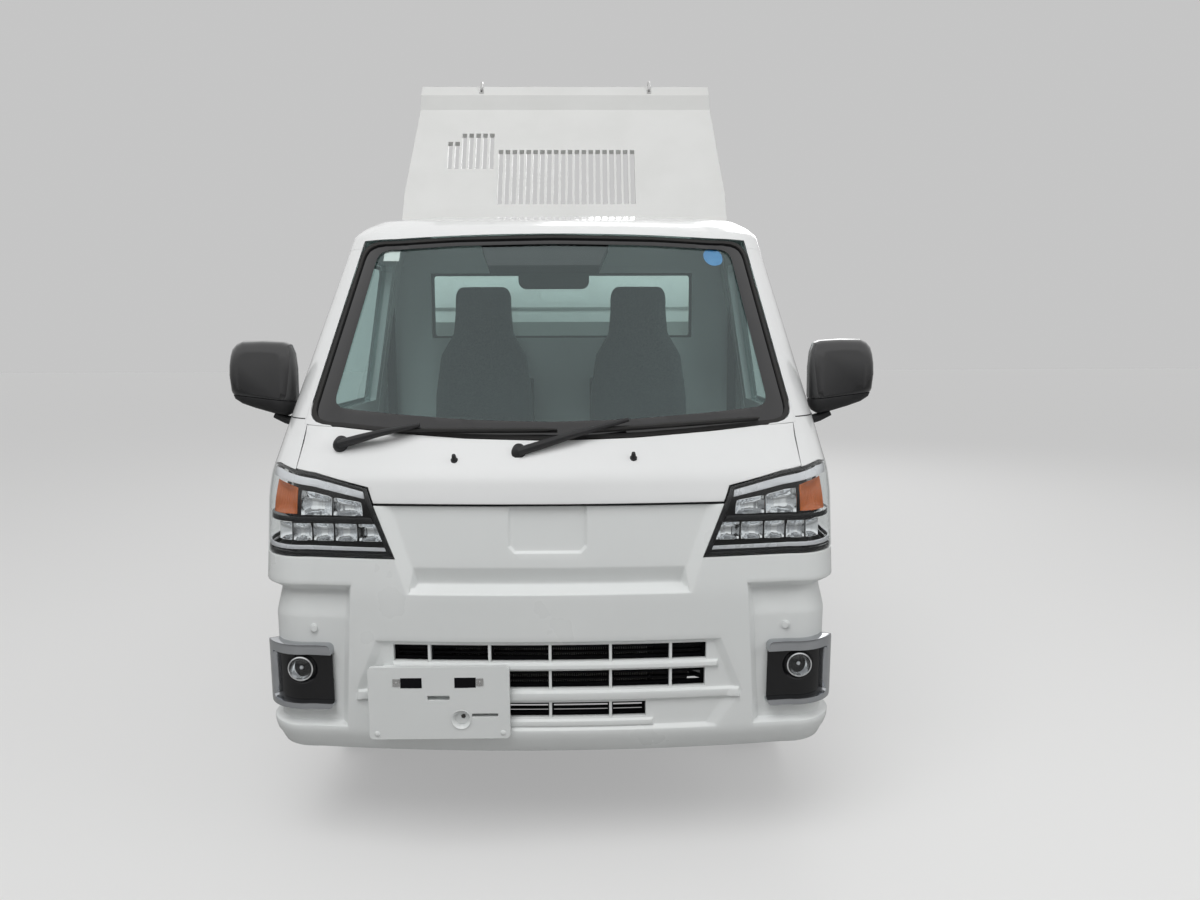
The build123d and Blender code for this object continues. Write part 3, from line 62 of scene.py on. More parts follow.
# %% Units and stations
MM = 0.001
CAB_REAR = 1345.0
CAB_WIDTH = 1475.0
STATION_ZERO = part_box("cab_roof")[1].y - CAB_REAR * MM


def at(x, station, height):
    """Point in the frame's metres from millimetres across, along from the bumper, and up."""
    return Vector((x * MM, STATION_ZERO + station * MM, height * MM))


print("station zero lies at", round(STATION_ZERO, 4))

# %% [markdown]
# ## The camera
#
# The portrait was taken by someone standing two metres in front of the truck, a little to its left,
# holding a wide phone lens at face height and tipping it down a few degrees. The lens is given as a
# focal length in photograph pixels, which the sensor width turns into millimetres.

# %% Camera
PHOTO_WIDTH = 1200
FOCAL_PIXELS = 870
SENSOR_WIDTH = 36.0
CAMERA_X = 98
CAMERA_STATION = -2083
CAMERA_HEIGHT = 1337
CAMERA_YAW = 0.79
CAMERA_PITCH = 7.48
CAMERA_ROLL = -0.19


def make_camera():
    """Camera at the photograph's place, turned by its yaw, pitch and roll."""
    data = bpy.data.cameras.new("camera")
    data.sensor_width = SENSOR_WIDTH
    data.lens = FOCAL_PIXELS / PHOTO_WIDTH * SENSOR_WIDTH
    data.clip_start = 0.05
    data.clip_end = 100
    camera = bpy.data.objects.new("camera", data)
    bpy.context.scene.collection.objects.link(camera)
    yaw = Matrix.Rotation(math.radians(-CAMERA_YAW), 4, "Z")
    pitch = Matrix.Rotation(math.radians(90 - CAMERA_PITCH), 4, "X")
    roll = Matrix.Rotation(math.radians(CAMERA_ROLL), 4, "Z")
    place = Matrix.Translation(at(CAMERA_X, CAMERA_STATION, CAMERA_HEIGHT))
    camera.matrix_world = place @ yaw @ pitch @ roll
    bpy.context.scene.camera = camera
    return camera


camera = make_camera()
bpy.context.scene.view_settings.view_transform = "Standard"
print("lens", round(camera.data.lens, 2), "mm")

# %% [markdown]
# ## Floor and light
#
# A white truck on a white floor loses its edges, so the floor is a pale grey and the light has a
# direction: a large soft lamp high above the front, as a bright sky is, a weaker one low on the
# right, one behind, and a plain world that fills the shadows. The levels are chosen so that white
# paint stays just below white. Metal and glass reflect a lighter dome, with a dusky band at the
# horizon, because chrome in a wholly white room has no shape. The two front lamps don't mirror
# themselves, or the windscreen and the roof would show white squares. Every node tree in this notebook
# is built with two helpers: one adds a node, the other plugs values and links into its inputs.

# %% Floor, lamps and world
FLOOR_GREY = 0.45
FLOOR_LIFT = 0.36
WORLD_LEVEL = 0.28
BACKDROP_LEVEL = 0.56
MIRRORED_LEVEL = 0.93
HORIZON_LEVEL = 0.28


def link(obj):
    """Put a new object into the scene."""
    bpy.context.scene.collection.objects.link(obj)
    return obj


def plug(tree, node, sockets):
    """Give a node's inputs their values, or link them where an output is given."""
    for label, value in sockets.items():
        if isinstance(value, bpy.types.NodeSocket):
            tree.links.new(value, node.inputs[label])
        else:
            node.inputs[label].default_value = value


def add_node(tree, kind, sockets=None, **settings):
    """New node with its settings and what is plugged into its inputs."""
    node = tree.nodes.new(kind)
    for label, value in settings.items():
        setattr(node, label, value)
    plug(tree, node, sockets or {})
    return node


def math_node(tree, operation, first, second):
    """Result of a math node whose inputs are links or numbers."""
    return add_node(tree, "ShaderNodeMath", {0: first, 1: second}, operation=operation).outputs[0]


def principled(name):
    """New node material with its tree and its main shader."""
    material = bpy.data.materials.new(name)
    material.use_nodes = True
    tree = material.node_tree
    return material, tree, tree.nodes["Principled BSDF"]


def make_floor():
    """Pale floor."""
    mesh = bpy.data.meshes.new("floor")
    reach = 30
    corners = [(-reach, -reach, 0), (reach, -reach, 0), (reach, reach, 0), (-reach, reach, 0)]
    mesh.from_pydata(corners, [], [(0, 1, 2, 3)])
    floor = link(bpy.data.objects.new("floor", mesh))
    material, tree, shader = principled("floor")
    seen = add_node(tree, "ShaderNodeLightPath").outputs["Is Camera Ray"]
    plug(tree, shader, {"Base Color": (FLOOR_GREY, FLOOR_GREY, FLOOR_GREY * 0.99, 1), "Roughness": 0.75,
                        "Emission Color": (1, 1, 1, 1),
                        "Emission Strength": math_node(tree, "MULTIPLY", seen, FLOOR_LIFT)})
    mesh.materials.append(material)


def make_lamp(name, x, station, height, size, watts, aim):
    """Square soft lamp aimed at a point."""
    data = bpy.data.lights.new(name, "AREA")
    data.size = size
    data.energy = watts
    lamp = link(bpy.data.objects.new(name, data))
    lamp.location = at(x, station, height)
    lamp.rotation_euler = (at(*aim) - lamp.location).to_track_quat("-Z", "Y").to_euler()
    return lamp


def make_world():
    """Even grey dome, lighter where the camera or a clear pane looks at it, banded where metal does."""
    world = bpy.data.worlds.new("studio")
    world.use_nodes = True
    bpy.context.scene.world = world
    tree = world.node_tree
    path = add_node(tree, "ShaderNodeLightPath").outputs
    where = add_node(tree, "ShaderNodeTexCoord").outputs["Generated"]
    height = add_node(tree, "ShaderNodeSeparateXYZ", {"Vector": where}).outputs["Z"]
    band = {"Value": height, "From Min": -0.05, "From Max": 0.45, "To Min": HORIZON_LEVEL,
            "To Max": MIRRORED_LEVEL}
    dome = add_node(tree, "ShaderNodeMapRange", band, interpolation_type="SMOOTHSTEP")
    seen = math_node(tree, "MAXIMUM", path["Is Camera Ray"], path["Is Transmission Ray"])
    levels = {"Value": seen, "To Min": WORLD_LEVEL, "To Max": BACKDROP_LEVEL}
    plain = add_node(tree, "ShaderNodeMapRange", levels)
    level = add_node(tree, "ShaderNodeMix", {"Factor": path["Is Glossy Ray"], "A": plain.outputs[0],
                                             "B": dome.outputs[0]})
    plug(tree, tree.nodes["Background"], {"Color": (1, 1, 1, 1), "Strength": level.outputs["Result"]})


make_floor()
make_lamp("key_lamp", -1100, -2300, 5200, 3.6, 175, (0, 500, 900)).visible_glossy = False
make_lamp("fill_lamp", 3800, -1300, 2600, 2.6, 40, (0, 900, 900)).visible_glossy = False
make_lamp("rear_lamp", 1500, 6500, 4200, 3.5, 80, (0, 2600, 900))
make_world()
print("floor, three lamps and the world are set")

# %% [markdown]
# ## Finishes
#
# Every finish is built from nodes. A flat colour looks like a toy, so each one gets what the real
# surface has: paint has a faint orange peel under its clear coat and a veil of dust, moulded plastic
# has a grain, cast metal is speckled, cloth is woven. All patterns read Object coordinates, which
# stay fixed to the piece when a door or the bed swings. What is the same all over is set on the
# shader's own sockets.

# %% Material helper
def object_noise(tree, scale, detail=3.0):
    """Noise on Object coordinates."""
    where = add_node(tree, "ShaderNodeTexCoord").outputs["Object"]
    sizes = {"Vector": where, "Scale": scale, "Detail": detail}
    return add_node(tree, "ShaderNodeTexNoise", sizes).outputs["Fac"]


def ramp(tree, source, low, high, from_low=0.28, from_high=0.72):
    """A value spread softly from one range to another."""
    ends = {"Value": source, "From Min": from_low, "From Max": from_high, "To Min": low, "To Max": high}
    return add_node(tree, "ShaderNodeMapRange", ends, interpolation_type="SMOOTHSTEP").outputs["Result"]


def tint(tree, source, first, second):
    """A colour between two, chosen by a value from 0 to 1."""
    ends = {"Factor": source, "A": (*first, 1), "B": (*second, 1)}
    return add_node(tree, "ShaderNodeMix", ends, data_type="RGBA").outputs["Result"]


def add_bump(tree, shader, height, distance):
    """Fine relief on the shader's normal."""
    bump = add_node(tree, "ShaderNodeBump", {"Strength": 1.0, "Distance": distance, "Height": height})
    plug(tree, shader, {"Normal": bump.outputs["Normal"]})


def soft_edges(tree, shader, radius):
    """Rounds the light on sharp edges by this radius, under the bump that the shader has."""
    edge = add_node(tree, "ShaderNodeBevel", {"Radius": radius}, samples=4)
    plug(tree, shader.inputs["Normal"].links[0].from_node, {"Normal": edge.outputs["Normal"]})


def finish(name, colour, shade, rough, metal=0.0, coat=0.0, grain=400.0, relief=0.00003, cloud=6.0,
           edge=0.0, specular=0.5):
    """A finish whose colour and roughness vary in clouds, with a fine grain in relief.

    colour and shade are the two ends of its colour, rough the two ends of its roughness, grain and
    cloud the scales of relief and clouds per metre, relief the depth of the grain, edge the radius
    that its sharp edges seem to have, in metres, and specular how much bare surface mirrors.
    """
    material, tree, shader = principled(name)
    clouds = object_noise(tree, cloud, 5.0)
    plug(tree, shader, {
        "Base Color": tint(tree, ramp(tree, clouds, 0.0, 1.0), colour, shade),
        "Roughness": ramp(tree, clouds, rough[0], rough[1]),
        "Metallic": metal, "Coat Weight": coat, "Coat Roughness": 0.04, "Specular IOR Level": specular,
    })
    add_bump(tree, shader, object_noise(tree, grain, 2.0), relief)
    if edge:
        soft_edges(tree, shader, edge)
    return material


print("material helpers are ready")

# %% [markdown]
# ## Paint, plastic, metal and rubber
#
# The cab is sprayed and clear-coated, the bumper is a moulded plastic of nearly the same white but a
# touch cooler, and the bed is thick single-coat paint on pressed steel, duller than the cab. Below
# the floor nearly everything is black chassis paint with road dust on it.

# %% The plain finishes
paint_white = finish("paint_white", (0.80, 0.81, 0.81), (0.77, 0.78, 0.78), (0.16, 0.24), coat=0.7,
                     grain=260, relief=0.000012, cloud=3, edge=0.002)
bumper_white = finish("bumper_white", (0.775, 0.795, 0.79), (0.765, 0.786, 0.781), (0.27, 0.31), coat=0.35,
                      grain=420, relief=0.00001, cloud=4, edge=0.002)
bed_white = finish("bed_white", (0.82, 0.825, 0.812), (0.785, 0.79, 0.775), (0.32, 0.42), coat=0.15,
                   grain=160, relief=0.00004, cloud=5, edge=0.002)
black_plastic = finish("black_plastic", (0.020, 0.020, 0.021), (0.030, 0.030, 0.031), (0.45, 0.62),
                       grain=900, relief=0.00008, cloud=20, specular=0.3)
gloss_black = finish("gloss_black", (0.006, 0.006, 0.007), (0.009, 0.009, 0.010), (0.06, 0.11), coat=0.1,
                     grain=200, relief=0.000004, cloud=10, edge=0.0015, specular=0.35)
mirror_black = finish("mirror_black", (0.010, 0.010, 0.011), (0.014, 0.014, 0.015), (0.06, 0.12), coat=1.0,
                      grain=200, relief=0.000004, cloud=10, edge=0.002)
dash_grey = finish("dash_grey", (0.055, 0.056, 0.060), (0.075, 0.076, 0.080), (0.50, 0.66),
                   grain=700, relief=0.00012, cloud=15)
rubber = finish("rubber", (0.016, 0.016, 0.016), (0.026, 0.025, 0.024), (0.62, 0.82), grain=500,
                relief=0.00006, cloud=12)
tyre_rubber = finish("tyre_rubber", (0.018, 0.018, 0.018), (0.040, 0.038, 0.035), (0.66, 0.90), grain=320,
                     relief=0.0001, cloud=14)
chassis_black = finish("chassis_black", (0.016, 0.016, 0.017), (0.045, 0.042, 0.038), (0.38, 0.70),
                       grain=140, relief=0.0001, cloud=9)
cast_alloy = finish("cast_alloy", (0.36, 0.36, 0.355), (0.25, 0.245, 0.235), (0.42, 0.62), metal=0.85,
                    grain=360, relief=0.0003, cloud=16)
cast_iron = finish("cast_iron", (0.045, 0.043, 0.042), (0.085, 0.072, 0.060), (0.55, 0.80), metal=0.4,
                   grain=260, relief=0.0003, cloud=22)
rim_silver = finish("rim_silver", (0.52, 0.53, 0.54), (0.46, 0.46, 0.465), (0.30, 0.42), metal=0.75,
                    coat=0.3, grain=300, relief=0.00002, cloud=10)
bright_steel = finish("bright_steel", (0.62, 0.62, 0.62), (0.50, 0.50, 0.49), (0.20, 0.34), metal=1.0,
                      grain=500, relief=0.00002, cloud=30)
chrome = finish("chrome", (0.86, 0.87, 0.88), (0.80, 0.81, 0.82), (0.04, 0.09), metal=1.0, grain=100,
                relief=0.000004, cloud=12)
exhaust_steel = finish("exhaust_steel", (0.30, 0.285, 0.265), (0.19, 0.16, 0.13), (0.36, 0.62), metal=0.9,
                       grain=240, relief=0.0001, cloud=18)
print("plain finishes", len(bpy.data.materials))

# %% [markdown]
# ## Glass and lenses
#
# Window glass is a thin pane, so light goes straight through it: a mix of a clear shader and a
# mirror, whose share grows at grazing angles by Fresnel. A solid refracting glass would cost far
# more light paths and darken the cab. The mirror works on the outer face only: light that goes
# straight through reaches the inner face at an angle at which Fresnel would throw all of it back.
# The same recipe with another tint serves for lamp covers.

# %% Glass and lens finishes
def pane(name, tint_colour, mirror_rough=0.02, ior=1.5, mirror_colour=(0.9, 0.9, 0.9)):
    """Thin clear pane: see-through with a tint, and a mirror at grazing angles."""
    material, tree, shader = principled(name)
    tree.nodes.remove(shader)
    clear = add_node(tree, "ShaderNodeBsdfTransparent", {"Color": (*tint_colour, 1)})
    mirror = add_node(tree, "ShaderNodeBsdfGlossy", {"Roughness": mirror_rough, "Color": (*mirror_colour, 1)})
    fresnel = add_node(tree, "ShaderNodeFresnel", {"IOR": ior}).outputs["Fac"]
    inner = add_node(tree, "ShaderNodeNewGeometry").outputs["Backfacing"]
    share = math_node(tree, "MULTIPLY", fresnel, math_node(tree, "SUBTRACT", 1.0, inner))
    both = {"Fac": share, 1: clear.outputs["BSDF"], 2: mirror.outputs["BSDF"]}
    mix = add_node(tree, "ShaderNodeMixShader", both)
    plug(tree, tree.nodes["Material Output"], {"Surface": mix.outputs["Shader"]})
    return material


def stripes(tree, scale, direction="X", distortion=0.0):
    """Even bands on Object coordinates."""
    where = add_node(tree, "ShaderNodeTexCoord").outputs["Object"]
    sizes = {"Vector": where, "Scale": scale, "Distortion": distortion}
    return add_node(tree, "ShaderNodeTexWave", sizes, bands_direction=direction).outputs["Fac"]


def lens(name, colour, glow, rough=0.12):
    """Coloured lamp plastic: partly see-through, glossy, with fine optic ribs inside."""
    material, tree, shader = principled(name)
    rough_clouds = ramp(tree, object_noise(tree, 60, 2.0), rough * 0.7, rough * 1.3)
    plug(tree, shader, {"Base Color": (*colour, 1), "Transmission Weight": glow, "Coat Weight": 0.6,
                        "Roughness": rough_clouds})
    add_bump(tree, shader, stripes(tree, 260), 0.0004)
    return material


window_glass = pane("window_glass", (0.80, 0.88, 0.87), ior=1.6, mirror_colour=(0.80, 0.95, 0.96))
windscreen_glass = pane("windscreen_glass", (0.84, 0.91, 0.90), ior=1.8, mirror_colour=(0.82, 0.97, 0.98))
lamp_clear = pane("lamp_clear", (0.96, 0.97, 0.97), 0.01)
lamp_orange = lens("lamp_orange", (0.85, 0.20, 0.02), 0.35)
lamp_red = lens("lamp_red", (0.55, 0.015, 0.012), 0.25)
mirror_glass = finish("mirror_glass", (0.90, 0.91, 0.92), (0.88, 0.89, 0.90), (0.01, 0.02), metal=1.0,
                      grain=80, relief=0.000001, cloud=10)
print("glass and lens finishes are ready")

# %% [markdown]
# ## Cloth, grip and paper
#
# The seats wear a coarse dark tweed whose threads cross: two band patterns at right angles push the
# surface up and down, and noise mixes the thread colours. The steering wheel is a moulded grip with
# a leather-like grain, which is a Voronoi pattern of small cells.

# %% Cloth, grip, paper and frit
def weave(name, colour, shade, threads):
    """Woven cloth: crossed threads in relief over a mottled colour."""
    material, tree, shader = principled(name)
    plug(tree, shader, {
        "Base Color": tint(tree, ramp(tree, object_noise(tree, 220, 4.0), 0, 1), colour, shade),
        "Roughness": ramp(tree, object_noise(tree, 12), 0.82, 0.96),
        "Sheen Weight": 0.25, "Sheen Roughness": 0.5,
    })
    across, along = stripes(tree, threads, "X", 1.5), stripes(tree, threads, "Z", 1.5)
    add_bump(tree, shader, math_node(tree, "MULTIPLY", across, along), 0.0007)
    return material


def grained(name, colour, shade, cells, rough):
    """Moulded grip or leather: small raised cells between fine creases."""
    material, tree, shader = principled(name)
    where = add_node(tree, "ShaderNodeTexCoord").outputs["Object"]
    sizes = {"Scale": cells, "Vector": where}
    cell = add_node(tree, "ShaderNodeTexVoronoi", sizes, feature="DISTANCE_TO_EDGE")
    plug(tree, shader, {
        "Base Color": tint(tree, ramp(tree, object_noise(tree, 18, 4.0), 0, 1), colour, shade),
        "Roughness": ramp(tree, object_noise(tree, 30), rough[0], rough[1]),
    })
    add_bump(tree, shader, ramp(tree, cell.outputs["Distance"], 0, 1, 0.0, 0.12), 0.0004)
    return material


seat_cloth = weave("seat_cloth", (0.050, 0.051, 0.056), (0.105, 0.107, 0.115), 330)
belt_web = weave("belt_web", (0.030, 0.030, 0.032), (0.050, 0.050, 0.052), 520)
seat_vinyl = grained("seat_vinyl", (0.030, 0.030, 0.032), (0.044, 0.044, 0.046), 900, (0.42, 0.58))
wheel_grip = grained("wheel_grip", (0.020, 0.020, 0.021), (0.032, 0.032, 0.034), 700, (0.45, 0.6))
floor_mat = grained("floor_mat", (0.022, 0.022, 0.022), (0.034, 0.033, 0.032), 300, (0.7, 0.85))
frit_black = finish("frit_black", (0.006, 0.006, 0.007), (0.009, 0.009, 0.010), (0.10, 0.16), coat=0.5,
                    grain=300, relief=0.000005, cloud=20)
paper_white = finish("paper_white", (0.80, 0.80, 0.78), (0.76, 0.76, 0.74), (0.55, 0.68), grain=900,
                     relief=0.00001, cloud=30)
sticker_blue = finish("sticker_blue", (0.05, 0.22, 0.50), (0.07, 0.26, 0.54), (0.35, 0.45), grain=900,
                      relief=0.00001, cloud=60)
print("materials so far", len(bpy.data.materials))

# %% [markdown]
# ## Better finishes for the frame's own pieces
#
# Where the construction already has the right shape, the piece stays and only its slot gets a new
# material. One table gives each node its finish. Pieces that are modelled anew further down
# replace their node, so what this table gives them doesn't show.

# %% Finish of each node
# Painted shade: the grille is black plastic, but this finish paints it darker and duller still, so its slats
# sink into the dark of the openings as shade does. The same near-black fills the plate carrier's slots.
deep_black = finish("deep_black", (0.003, 0.003, 0.004), (0.006, 0.006, 0.007), (0.6, 0.8), grain=600,
                    relief=0.00004, cloud=30, specular=0.12)
NODE_FINISHES = (
    (bumper_white, "bumper plate_bracket"),
    (deep_black, "grille"),
    (chrome, "fog_lamps lift_rod"),
    (lamp_clear, "headlamps"),
    (paint_white, "front_panel cab_roof side_frames cab_rear_wall door_left door_right"),
    (windscreen_glass, "cab_glass"),
    (black_plastic, "wipers fuel_tank mudguards"),
    (floor_mat, "cab_floor"),
    (dash_grey, "dashboard"),
    (seat_cloth, "seats"),
    (wheel_grip, "steering_wheel"),
    (window_glass, "door_glass_left door_glass_right"),
    (gloss_black, "mirror_left mirror_right"),
    (chassis_black, "chassis_frame leaf_springs front_arms hydraulic_unit rear_lamps lift_barrel"),
    (cast_alloy, "engine_block"),
    (cast_iron, "driveline rear_axle knuckle_left knuckle_right"),
    (exhaust_steel, "exhaust"),
    (bed_white, "bed_floor bed_headboard side_gate_left side_gate_right tailgate"),
    (tyre_rubber, "tyre_front_left tyre_front_right tyre_rear_left tyre_rear_right"),
    (rim_silver, "rim_front_left rim_front_right rim_rear_left rim_rear_right"),
)


def repaint(obj, material):
    """One finish for a whole CAD object, through its slots."""
    if not obj.material_slots:
        obj.data.materials.append(material)
    for slot in obj.material_slots:
        slot.material = material


for material, names in NODE_FINISHES:
    for node_name in names.split():
        repaint(nodes[node_name], material)
named = " ".join(names for _, names in NODE_FINISHES).split()
print("finished nodes", len(named), "without a finish:", sorted(set(nodes) - set(named)))

# %% [markdown]
# ## One curved surface for all the front panels
#
# The cab's front is pressed sheet: the bumper cover, the service panel and the lamps all lie in one
# surface that bows across the front, rolls round the corners and runs back along the sides. The same
# table of plan sections as in the construction describes it: the height, the station of the nose,
# the station and half width where the corner starts, how far the side is tucked in, and the
# station where the side starts. A panel is drawn flat, with s measured round the front from the
# centre and z as height, and then laid onto the surface. That way an outline keeps its shape while
# the sheet bends, just as a real pressing does.

# %% The surface
SKIN_ROWS = [
    (287, 25, 65, 600, 22, 190),
    (330, 2, 42, 610, 3, 170),
    (700, 5, 45, 615, 0, 170),
    (930, 30, 76, 602, 1, 215),
    (990, 44, 94, 592, 3, 255),
    (1080, 115, 185, 560, 8, 330),
    (1640, 600, 640, 480, 98, 760),
    (1700, 655, 700, 460, 120, 830),
    (1745, 740, 790, 430, 158, 900),
    (1780, 1000, 1030, 320, 298, 1060),
]
FRONT_SPAN = 600
CORNER_SPAN = 180
CREASE = 14


def row_between(height):
    """Section values at a height, in line between two rows."""
    height = min(max(height, SKIN_ROWS[0][0]), SKIN_ROWS[-1][0])
    for low, high in zip(SKIN_ROWS, SKIN_ROWS[1:]):
        if height <= high[0]:
            share = (height - low[0]) / (high[0] - low[0])
            return [a + (b - a) * share for a, b in zip(low[1:], high[1:])]
    return list(SKIN_ROWS[-1][1:])


def soft_row(height):
    """Section values with the creases between the rows rounded a little."""
    near = [row_between(height + shift) for shift in (-CREASE, -CREASE / 2, 0, CREASE / 2, CREASE)]
    return [sum(values) / len(values) for values in zip(*near)]


def circle_through(first, middle, last):
    """Centre, radius and the angles of the first and last of three points."""
    (ax, ay), (bx, by), (cx, cy) = first, middle, last
    d = 2 * (ax * (by - cy) + bx * (cy - ay) + cx * (ay - by))
    a, b, c = ax * ax + ay * ay, bx * bx + by * by, cx * cx + cy * cy
    ux = (a * (by - cy) + b * (cy - ay) + c * (ay - by)) / d
    uy = (a * (cx - bx) + b * (ax - cx) + c * (bx - ax)) / d
    return ux, uy, math.hypot(ax - ux, ay - uy), math.atan2(ay - uy, ax - ux), math.atan2(cy - uy, cx - ux)


def skin_point(s, z):
    """Point of the outer surface in millimetres, from s round the front and the height."""
    nose, corner_y, corner_x, tuck, side_y = soft_row(z)
    side = CAB_WIDTH / 2 - tuck
    reach = abs(s)
    if reach <= FRONT_SPAN:
        x = reach * corner_x / FRONT_SPAN
        drop = corner_y - nose
        radius = (corner_x ** 2 + drop ** 2) / (2 * drop)
        y = nose + radius - math.sqrt(radius ** 2 - x ** 2)
    elif reach <= FRONT_SPAN + CORNER_SPAN:
        bend = (corner_x / 4 + side * 3 / 4, corner_y * 3 / 4 + side_y / 4)
        ux, uy, radius, start, end = circle_through((corner_x, corner_y), bend, (side, side_y))
        angle = start + (end - start) * (reach - FRONT_SPAN) / CORNER_SPAN
        x = ux + radius * math.cos(angle)
        y = uy + radius * math.sin(angle)
    else:
        x = side
        y = side_y + reach - FRONT_SPAN - CORNER_SPAN
    return Vector((math.copysign(x, s) if s else 0.0, y, z))


def on_skin(s, z, depth=0.0):
    """Point at a depth below the surface, measured along its normal."""
    point = skin_point(s, z)
    if not depth:
        return point
    along = skin_point(s + 2, z) - skin_point(s - 2, z)
    up = skin_point(s, z + 2) - skin_point(s, z - 2)
    inward = up.cross(along).normalized()
    return point + inward * depth


def front_s(x, z):
    """The s of the surface point that lies at x, on the front or in the corner."""
    low, high = 0.0, FRONT_SPAN + CORNER_SPAN
    for _ in range(30):
        middle = (low + high) / 2
        if skin_point(middle, z).x < abs(x):
            low = middle
        else:
            high = middle
    return math.copysign(low, x)


print("nose and corner at 500 mm:", [[round(v, 1) for v in on_skin(s, 500)] for s in (0, 700)])

# %% [markdown]
# ## Cutting and folding a flat sheet
#
# A panel starts as a flat grid. Its outline, its holes and the edges of every recess are cut into
# the grid as lines, so no edge ends up as a staircase. A recess is a depth that each point of the
# sheet gets: it grows over a short ramp inside the recess's outline, as the radius of a pressing
# tool makes it. Only then is the sheet laid onto the surface, given its thickness, and its rim
# rounded.

# %% Sheets
def bridge(bm, rings, closed=True):
    """Faces between each ring of corners and the next, or between open rows."""
    for first, second in zip(rings, rings[1:]):
        for i in range(len(first) - (not closed)):
            j = (i + 1) % len(first)
            bm.faces.new((first[i], first[j], second[j], second[i]))


def grid_sheet(s_lines, z_lines):
    """Flat grid in (s, z), one face between each pair of lines."""
    bm = bmesh.new()
    bridge(bm, [[bm.verts.new((s, z, 0)) for s in s_lines] for z in z_lines], False)
    return bm


def even_lines(start, end, step):
    """Evenly spaced values from start to end, about a step apart."""
    count = max(1, round((end - start) / step))
    return [start + (end - start) * i / count for i in range(count + 1)]


def cut_segment(bm, first, second):
    """Cut the faces near a segment along its line."""
    low_s, high_s = min(first[0], second[0]) - 0.5, max(first[0], second[0]) + 0.5
    low_z, high_z = min(first[1], second[1]) - 0.5, max(first[1], second[1]) + 0.5
    near = []
    for face in bm.faces:
        ss, zs = zip(*(v.co[:2] for v in face.verts))
        if max(ss) >= low_s and min(ss) <= high_s and max(zs) >= low_z and min(zs) <= high_z:
            near.append(face)
    if not near:
        return
    edges = {edge for face in near for edge in face.edges}
    verts = {vert for face in near for vert in face.verts}
    along = Vector((second[0] - first[0], second[1] - first[1], 0))
    normal = Vector((-along.y, along.x, 0)).normalized()
    bmesh.ops.bisect_plane(bm, geom=near + list(edges) + list(verts), dist=0.02,
                           plane_co=(first[0], first[1], 0), plane_no=normal)


def sides_of(outline):
    """Each corner of a closed outline with the next."""
    return zip(outline, outline[1:] + outline[:1])


def cut_outline(bm, outline):
    """Cut a closed outline into a sheet."""
    for first, second in sides_of(outline):
        cut_segment(bm, first, second)


def inside(point, outline):
    """Whether a flat point lies inside a closed outline."""
    x, y = point
    odd = False
    for (x0, y0), (x1, y1) in sides_of(outline):
        if (y0 > y) != (y1 > y) and x < (x1 - x0) * (y - y0) / (y1 - y0) + x0:
            odd = not odd
    return odd


def cut_out(bm, outline, keep=False):
    """Cut an outline and delete the faces inside it, or outside it where keep is true."""
    cut_outline(bm, outline)
    gone = []
    for face in bm.faces:
        if inside(face.calc_center_median()[:2], outline) != keep:
            gone.append(face)
    bmesh.ops.delete(bm, geom=gone, context="FACES")


def inset_outline(outline, widths):
    """Convex outline with each edge moved inwards by its own width. Outlines run anticlockwise."""
    lines = []
    for ((x0, y0), (x1, y1)), width in zip(sides_of(outline), widths):
        length = math.hypot(x1 - x0, y1 - y0)
        nx, ny = -(y1 - y0) / length, (x1 - x0) / length
        lines.append((nx, ny, nx * x0 + ny * y0 + width))
    points = []
    for (a, b, c), (d, e, f) in zip(lines[-1:] + lines[:-1], lines):
        det = a * e - b * d
        points.append(((c * e - b * f) / det, (a * f - c * d) / det))
    return points


def press_depth(point, outline, widths, depth):
    """Depth of a pressed recess at a flat point, ramped in from its outline."""
    share = 1.0
    for ((x0, y0), (x1, y1)), width in zip(sides_of(outline), widths):
        length = math.hypot(x1 - x0, y1 - y0)
        far = ((point[1] - y0) * (x1 - x0) - (point[0] - x0) * (y1 - y0)) / length
        if far <= 0:
            return 0.0
        share = min(share, far / width)
    return depth * eased(share)


RAMP_ROUND = 0.18
RAMP_CUTS = (0.0, 0.09, 0.18, 0.82, 0.91, 1.0)


def eased(share):
    """Straight ramp from 0 to 1 whose two ends are rounded."""
    bend = 2 * RAMP_ROUND * (1 - RAMP_ROUND)
    if share < RAMP_ROUND:
        return share * share / bend
    if share > 1 - RAMP_ROUND:
        return 1 - (1 - share) ** 2 / bend
    return (share - RAMP_ROUND / 2) / (1 - RAMP_ROUND)


def cut_recess(bm, outline, widths):
    """Cut a recess's outline and the lines that its ramp bends along."""
    for share in RAMP_CUTS:
        cut_outline(bm, inset_outline(outline, [width * share for width in widths]))


def free_mesh(bm, name, material=None):
    """Mesh data from a bmesh that isn't needed any more."""
    mesh = bpy.data.meshes.new(name)
    bm.to_mesh(mesh)
    bm.free()
    if material:
        mesh.materials.append(material)
    return mesh


def clean_mesh(bm, name, material=None):
    """Mesh data with doubles merged and faces turned outwards."""
    bmesh.ops.remove_doubles(bm, verts=bm.verts, dist=0.00001)
    bmesh.ops.recalc_face_normals(bm, faces=bm.faces)
    return free_mesh(bm, name, material)


def face_front(bm):
    """Turn a sheet so that its faces look to the front."""
    if sum(face.normal.y * face.calc_area() for face in bm.faces) > 0:
        bmesh.ops.reverse_faces(bm, faces=bm.faces)


def place(bm):
    """Carry a shape from the truck's millimetres into the frame's metres."""
    for vert in bm.verts:
        vert.co = at(*vert.co)
    return bm


def baked(obj, sharp=35.0):
    """Apply an object's modifiers and shade it smooth up to an angle."""
    bpy.context.view_layer.update()
    graph = bpy.context.evaluated_depsgraph_get()
    mesh = bpy.data.meshes.new_from_object(obj.evaluated_get(graph))
    obj.modifiers.clear()
    obj.data = mesh
    mesh.shade_smooth()
    mesh.set_sharp_from_angle(angle=math.radians(sharp))
    return obj


